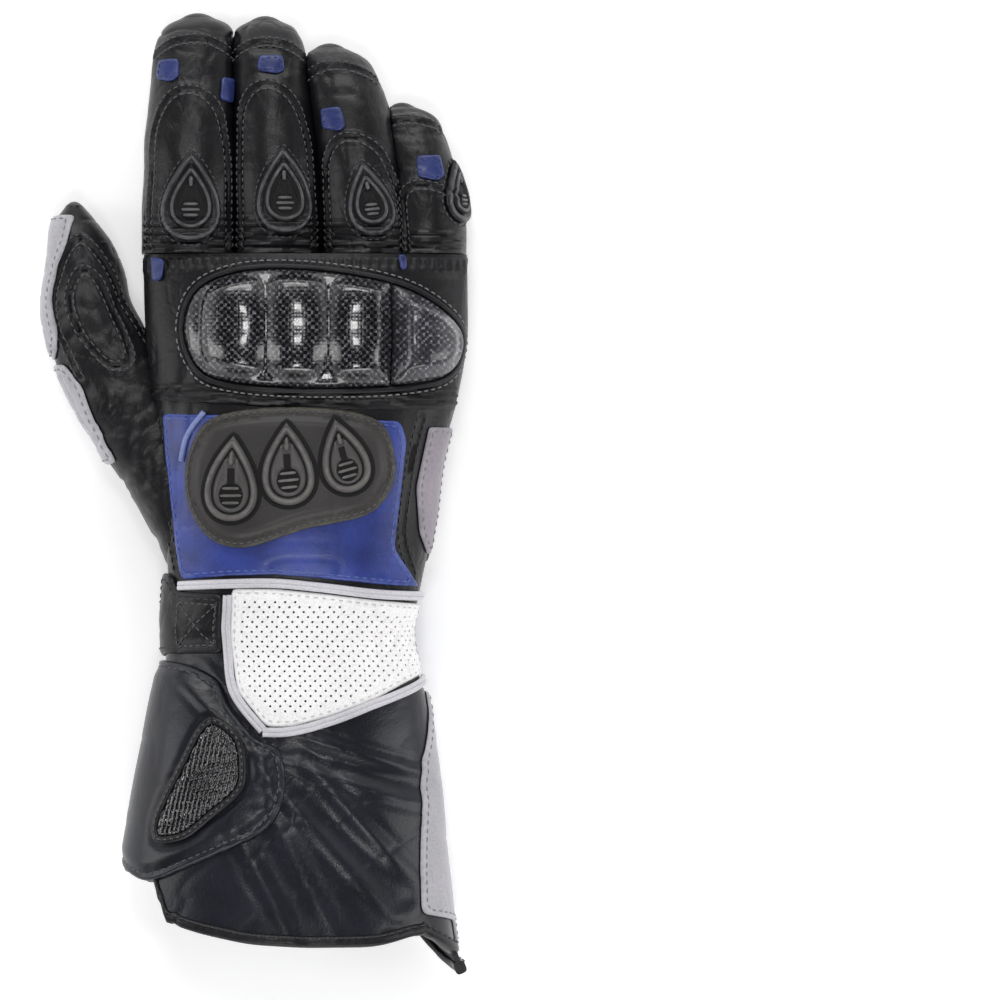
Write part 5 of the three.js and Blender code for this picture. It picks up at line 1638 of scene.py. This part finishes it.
FLAP = [
    (0.225, -0.155, "back"), (0.10, -0.105, "back"), (0.0, -0.095, "back"), (0.05, -0.14, "palm_left"),
    (0.065, -0.45, "palm_left"), (0.07, -0.70, "palm_left"), (0.0, -0.745, "back"), (0.075, -0.80, "back"),
    (0.12, -0.79, "back"), (0.325, -0.69, "back"), (0.42, -0.645, "back"), (0.48, -0.585, "back"),
    (0.50, -0.48, "back"), (0.475, -0.37, "back"), (0.385, -0.345, "back"), (0.27, -0.235, "back"),
]
flap_loop = soften(sided(FLAP), 2.6)
INSERT = [
    (0.235, -0.275), (0.335, -0.335), (0.365, -0.43), (0.36, -0.505), (0.262, -0.605), (0.19, -0.665),
    (0.105, -0.675), (0.088, -0.62), (0.145, -0.42), (0.195, -0.30),
]
insert_loop = body_curve(INSERT)


def flap_shape(flat, depth, height):
    """A padded flap: its border is sewn down, and it rises towards the insert."""
    away, _ = to_line(flat, insert_loop, closed=True)
    held = smooth_step(0, 1, np.where(inside(flat, insert_loop), 0, away) / 3)
    puff = 0.75 * smooth_step(2.4, 6.0, depth) * held
    groove = -0.5 * bump(depth - 2.2, 0.6)
    return height * 0.85 + puff + groove


flap_piece = panel("cuff_flap_leather", BODY, flap_loop, GAP, FLAP_THICKNESS, INK, "cuff_flap",
                   spacing=1.1, edge=1.6, shape=flap_shape)
seam("cuff_flap_stitches", flap_loop, [2.2], GAP + FLAP_THICKNESS * 0.85 - 0.4, GREY_THREAD, "black_leather",
     pitch=2.6)

INSERT_BASE = GAP + FLAP_THICKNESS + GAP
rim_line = inset(resample(insert_loop, 0.6, closed=True), RIM_WIDTH / 2)
rim_height = INSERT_BASE + RIM_HEIGHT * 0.35
ring_tube("insert_rim_leather", BODY, rim_line, 1.0, rim_height, circle(RIM_WIDTH / 2, 12, 0.75), BLACK,
          0.35, "insert_rim")
stitches("insert_rim_stitches", BODY, [np.vstack([rim_line, rim_line[:1]])], rim_height + RIM_WIDTH * 0.375 - 0.1,
         GREY_THREAD, "black_leather", pitch=2.3, length=1.4)
bead_loop = inset(resample(insert_loop, 0.6, closed=True), RIM_WIDTH + 0.1)
BEAD_PITCH = 2.1


def bead_shape(flat, depth, height):
    """Rows of moulded beads."""
    a = flat @ np.array([0.82, 0.57]) * 2 * math.pi / BEAD_PITCH
    b = flat @ np.array([-0.57, 0.82]) * 2 * math.pi / BEAD_PITCH
    beads = np.clip(np.cos(a) * np.cos(b), 0, 1) ** 0.8 + np.clip(np.sin(a) * np.sin(b), 0, 1) ** 0.8
    return height * 0.5 + 0.75 * beads + 0.2


panel("insert_mesh_beads", BODY, bead_loop, INSERT_BASE, PANEL, BEADS, "insert_mesh", spacing=0.45,
      shape=bead_shape, sharp=0)


# The silver panel round the gauntlet's side

SILVER_SIDE = [
    (1.0, -0.235, "back"), (0.955, -0.42, "back"), (0.925, -0.71, "back"), (0.915, -0.90, "back"),
    (1.0, -0.935, "back"), (1.0, -1.02, "palm"), (0.98, -1.01, "palm"), (0.92, -0.945, "palm"),
    (0.80, -0.86, "palm"), (0.645, -0.765, "palm"), (0.62, -0.68, "palm"), (0.635, -0.25, "palm"),
    (0.66, -0.215, "palm"), (0.83, -0.20, "palm"), (1.0, -0.20, "palm"),
]
silver_loop = soften(sided(SILVER_SIDE), 1.8)
panel("cuff_side_panel_leather", BODY, silver_loop, GAP, PANEL, SILVER, "cuff_side_panel",
      spacing=1.3)
seam("cuff_side_stitches", silver_loop, [1.8], GAP + PANEL, PALE_THREAD, "silver_leather")


# Palm side

PALM_PATCH = [
    (0.81, 0.82), (0.78, 0.76), (0.575, 0.715), (0.34, 0.672), (0.13, 0.587), (0.02, 0.575), (0.01, 0.88),
    (0.08, 0.935), (0.38, 0.93), (0.58, 0.905), (0.715, 0.865),
]
HEEL_PATCH = [(0.40, 0.56), (0.80, 0.60), (0.90, 0.45), (0.86, 0.25), (0.60, 0.20), (0.44, 0.28), (0.46, 0.42)]
patch_loop = on_palm(PALM_PATCH, 2.0)
panel("palm_patch_leather", BODY, patch_loop, GAP, PANEL, BLACK, "palm_patch", spacing=1.3)
seam("palm_patch_stitches", patch_loop, [1.8], GAP + PANEL, BLACK_THREAD, "black_leather")
heel_loop = body_curve(HEEL_PATCH, "palm")
panel("heel_patch_leather", BODY, heel_loop, GAP, PANEL, BLACK, "heel_patch", spacing=1.3)

WRIST_SIDE = [(0.945, 0.10), (0.997, 0.10), (0.98, 0.02), (0.997, -0.13), (0.945, -0.12)]
wrist_side_loop = on_palm(WRIST_SIDE, 1.2)
panel("wrist_side_blue", BODY, wrist_side_loop, GAP, PANEL, BLUE, None, spacing=0.9)
seam("wrist_side_stitches", wrist_side_loop, [1.2], GAP + PANEL, BLUE_THREAD, "blue_leather")

slider_y = along_to_y(np.array([0.18, 0.44]))
slider_w = [BODY.girth_at(np.array([a]), np.array([slider_y.mean()]))[0] for a in (1.66, 2.25)]
slider_loop = soften(np.array([(slider_w[0], slider_y[0]), (slider_w[1], slider_y[0] + 1),
                               (slider_w[1], slider_y[1] - 1), (slider_w[0], slider_y[1])]), 2.0)


def slider_shape(flat, depth, height):
    """Long slots in the slider."""
    for share in (0.35, 0.68):
        at = slider_w[0] + (slider_w[1] - slider_w[0]) * share
        height = height - 0.5 * slot_cut(flat[:, 0], flat[:, 1], at, slider_y.mean(), 0.7, 9.0, 0.4)
    return height


panel("side_slider_plate", BODY, slider_loop, GAP, PANEL, RUBBER, "side_slider", spacing=0.8,
      shape=slider_shape)


# The thumb's grey panels

def thumb_panel(name, rows):
    """A panel on the thumb's outer side: along, inset from the outer edge as a share of the reach."""
    inner = []
    outer = []
    for along, inset_share in rows:
        y = THUMB_START * HAND_LENGTH + along * THUMB_LENGTH
        left, right, low, top = THUMB.section(y)
        inner.append(THUMB.unroll(np.array([[left + inset_share * THUMB_REACH, y]]))[0])
        outer.append(np.array([THUMB.girth_at(np.array([-math.pi * 0.68]), np.array([y]))[0], y]))
    loop = soften(np.vstack([inner, outer[::-1]]), 1.4)
    panel(name + "_leather", THUMB, loop, GAP, PANEL, SILVER, name, spacing=1.0)
    seam(name + "_stitches", loop, [1.5], GAP + PANEL, PALE_THREAD, "silver_leather", surface=THUMB)


thumb_panel("thumb_grey_tip", [(0.60, 0.03), (0.66, 0.13), (0.76, 0.10), (0.84, 0.13), (0.90, 0.19), (0.97, 0.19)])
thumb_panel("thumb_grey_ball", [(0.33, 0.09), (0.40, 0.12), (0.46, 0.17), (0.53, 0.20), (0.585, 0.10)])


# Pods and accents on the fingers

def on_finger(name, along, shift):
    """A place (w, y) on a finger's back: a share of its length, and a share of its width off the middle."""
    surface = FINGERS[name]
    y = HAND_LENGTH + along * DIGITS[name]["length"]
    left, right, _, _ = surface.section(y)
    x = (left + right) / 2 + shift * DIGITS[name]["width"]
    return surface.unroll(np.array([[x, y]]))[0]


def finger_pod(name, along, shift, width, length, lean, centre=None):
    """A raised teardrop inside a second, sewn teardrop."""
    surface = FINGERS[name]
    centre = on_finger(name, along, shift) if centre is None else centre
    vent(f"pod_{name}", surface, centre, width * POD_WIDTH * 0.74, length * POD_LENGTH * 0.76, lean,
         GAP + POD_THICKNESS * 0.45, POD_THICKNESS * 0.55, None, (BLACK_AND_PAINTED_SHADE, POD_RIM_AND_SHEEN, GREY_BAR), 0.55)
    loop = centre + teardrop(width * POD_WIDTH * 1.04, length * POD_LENGTH * 1.04, lean)
    outer = panel(f"pod_{name}_cushion", surface, loop, GAP, POD_THICKNESS * 0.85, BLACK, f"pod_{name}",
                  spacing=0.7, edge=1.3, sharp=0,
                  shape=lambda flat, depth, height: height - 0.75 * smooth_step(1.6, 3.0, depth))
    # The roll's grey is partly its own colour and partly painted sheen.
    ring_tube(f"pod_{name}_roll", surface, inset(resample(loop, 0.6, closed=True), 1.2), 0.8,
              GAP + POD_THICKNESS * 0.78, circle(0.62, 8, 0.7), POD_RIM_AND_SHEEN, 0.6)
    stitches(f"pod_{name}_stitches", surface, [grown_loop(loop, 1.1)], 0.1, GREY_THREAD, "black_leather", pitch=2.3,
             length=1.5)


finger_pod("index", 0.235, 0.03, 1.0, 1.0, 0)
finger_pod("middle", 0.265, 0.10, 0.95, 0.97, 0)
finger_pod("ring", 0.26, 0.08, 0.8, 0.83, 0.1)
side_y = HAND_LENGTH + 0.42 * DIGITS["little"]["length"]
side_w = FINGERS["little"].girth_at(np.array([math.pi * 0.36]), np.array([side_y]))[0]
finger_pod("little", 0, 0, 0.72, 0.70, 0, np.array([side_w, side_y]))

ACCENTS = [("index", 0.765, -0.27, 0.95, 1.0), ("middle", 0.80, 0.03, 1.0, 0.81), ("ring", 0.64, -0.20, 0.9, 1.06),
           ("little", 0.57, 0.14, 1.0, 1.12)]
for _name, _along, _shift, _width, _length in ACCENTS:
    _centre = on_finger(_name, _along, _shift)
    _corners = np.array([(-1, -0.7), (0.4, -1), (1, -0.6), (0.9, 1), (-0.8, 0.9)])
    _loop = soften(_centre + _corners * [_width * ACCENT_WIDTH / 2, _length * ACCENT_LENGTH / 2], 0.9, 0.3)
    panel(f"accent_{_name}_leather", FINGERS[_name], _loop, GAP, ACCENT_THICKNESS, ACCENT_BLUE, f"accent_{_name}",
          spacing=0.7, edge=0.7)
    seam(f"accent_{_name}_stitches", _loop, [1.0], GAP + ACCENT_THICKNESS, DARK_BLUE_THREAD, "blue_leather",
         surface=FINGERS[_name], pitch=2.2, length=1.5)


SLIVERS = [
    ("accent_side_sliver", BODY, [(0.035, 0.992), (0.075, 0.985), (0.068, 0.93), (0.04, 0.925)]),
    ("accent_web_sliver", BODY, [(0.785, 0.995), (0.81, 0.995), (0.812, 0.955), (0.795, 0.95)]),
]
for _name, _surface, _rows in SLIVERS:
    panel(_name, _surface, on_back(_rows, 0.6), LAYER, ACCENT_THICKNESS, ACCENT_BLUE, None,
          spacing=0.7, edge=0.7)
_loop = soften(on_finger("index", 0.685, 0.37) + np.array([(-3.2, -3.6), (2.2, -4.6), (3.4, 3.8), (-2.6, 4.4)]), 0.9,
               0.3)
panel("accent_index_side", FINGERS["index"], _loop, GAP, ACCENT_THICKNESS, ACCENT_BLUE, None,
      spacing=0.7, edge=0.7)


# Floor, lights and camera

FLOOR_COLOR = (0.86, 0.86, 0.87)


def make_floor():
    mesh = bpy.data.meshes.new("floor")
    half = 3.0
    mesh.from_pydata([(-half, -half, 0), (half, -half, 0), (half, half, 0), (-half, half, 0)], [], [(0, 1, 2, 3)])
    floor = bpy.data.objects.new("floor", mesh)
    bpy.context.scene.collection.objects.link(floor)
    material, tree, shader, where = start_material("floor_paper")
    fibre = add(tree, "ShaderNodeTexNoise", {"Vector": where, "Scale": 300.0, "Detail": 3.0})
    tone = add(tree, "ShaderNodeMix", {"Factor": fibre.outputs["Fac"], "A": (*[c * 0.99 for c in FLOOR_COLOR], 1),
                                       "B": (*FLOOR_COLOR, 1)}, data_type="RGBA")
    tree.links.new(tone.outputs["Result"], shader.inputs["Base Color"])
    shader.inputs["Roughness"].default_value = 0.9
    shader.inputs["Specular IOR Level"].default_value = 0.2
    shader.inputs["Emission Color"].default_value = (1, 1, 1, 1)
    shader.inputs["Emission Strength"].default_value = 0.38
    mesh.materials.append(material)


make_floor()


def area_light(name, place, target, size, power):
    data = bpy.data.lights.new(name, "AREA")
    data.shape = "RECTANGLE"
    data.size, data.size_y = size
    data.energy = power
    light = bpy.data.objects.new(name, data)
    bpy.context.scene.collection.objects.link(light)
    light.location = place
    direction = Vector(target) - Vector(place)
    light.rotation_euler = direction.to_track_quat("-Z", "Y").to_euler()


area_light("softbox_top", (-0.05, 1.25, 0.85), (0.0, 0.05, 0.0), (1.3, 0.4), 9.5)
area_light("softbox_bottom", (0.05, -1.25, 0.85), (0.0, 0.0, 0.0), (1.3, 0.4), 7.5)
area_light("softbox_left", (-1.25, 0.1, 0.75), (0.0, 0.0, 0.0), (0.4, 1.1), 4)
area_light("softbox_right", (1.25, 0.0, 0.8), (0.0, 0.0, 0.0), (0.4, 1.1), 4.5)
area_light("glint_top", (0.0, 0.48, 1.25), (0.0, 0.057, 0.0), (0.24, 0.17), 2.2)
area_light("glint_bottom", (0.0, -0.37, 1.25), (0.0, 0.057, 0.0), (0.24, 0.17), 2.2)


def make_world(horizon=0.85, zenith=0.035):
    """A room that is bright all round and dark overhead."""
    world = bpy.data.worlds.new("bright_room")
    world.use_nodes = True
    tree = world.node_tree
    direction = add(tree, "ShaderNodeTexCoord").outputs["Generated"]
    height = add(tree, "ShaderNodeSeparateXYZ", {0: direction}).outputs["Z"]
    level = add(tree, "ShaderNodeMapRange", {"Value": height, "From Min": 0.22, "From Max": 0.72,
                                             "To Min": horizon, "To Max": zenith}, interpolation_type="SMOOTHSTEP")
    background = tree.nodes["Background"]
    background.inputs["Color"].default_value = (1.0, 1.0, 1.0, 1)
    tree.links.new(level.outputs[0], background.inputs["Strength"])
    bpy.context.scene.world = world


make_world()
bpy.context.scene.view_settings.view_transform = "Standard"

PIXEL = 0.345
FRAME_PIXELS = 1000
WRIST_PIXEL = (306.5, 630)
LENS = 200.0
SENSOR = 36.0
camera_data = bpy.data.cameras.new("camera")
camera_data.lens = LENS
camera_data.sensor_width = SENSOR
camera_data.sensor_height = SENSOR
camera_data.clip_start = 0.01
camera_data.clip_end = 20.0
camera = bpy.data.objects.new("camera", camera_data)
bpy.context.scene.collection.objects.link(camera)
photo_x = ((FRAME_PIXELS / 2 - WRIST_PIXEL[0]) * PIXEL + ORIGIN[0]) * MILLIMETRE
photo_y = ((WRIST_PIXEL[1] - FRAME_PIXELS / 2) * PIXEL + ORIGIN[1]) * MILLIMETRE
GLOVE_MIDDLE = 0.022
camera.location = (photo_x, photo_y, FRAME_PIXELS * PIXEL * MILLIMETRE * LENS / SENSOR + GLOVE_MIDDLE)
camera.rotation_euler = (0, 0, 0)
bpy.context.scene.camera = camera
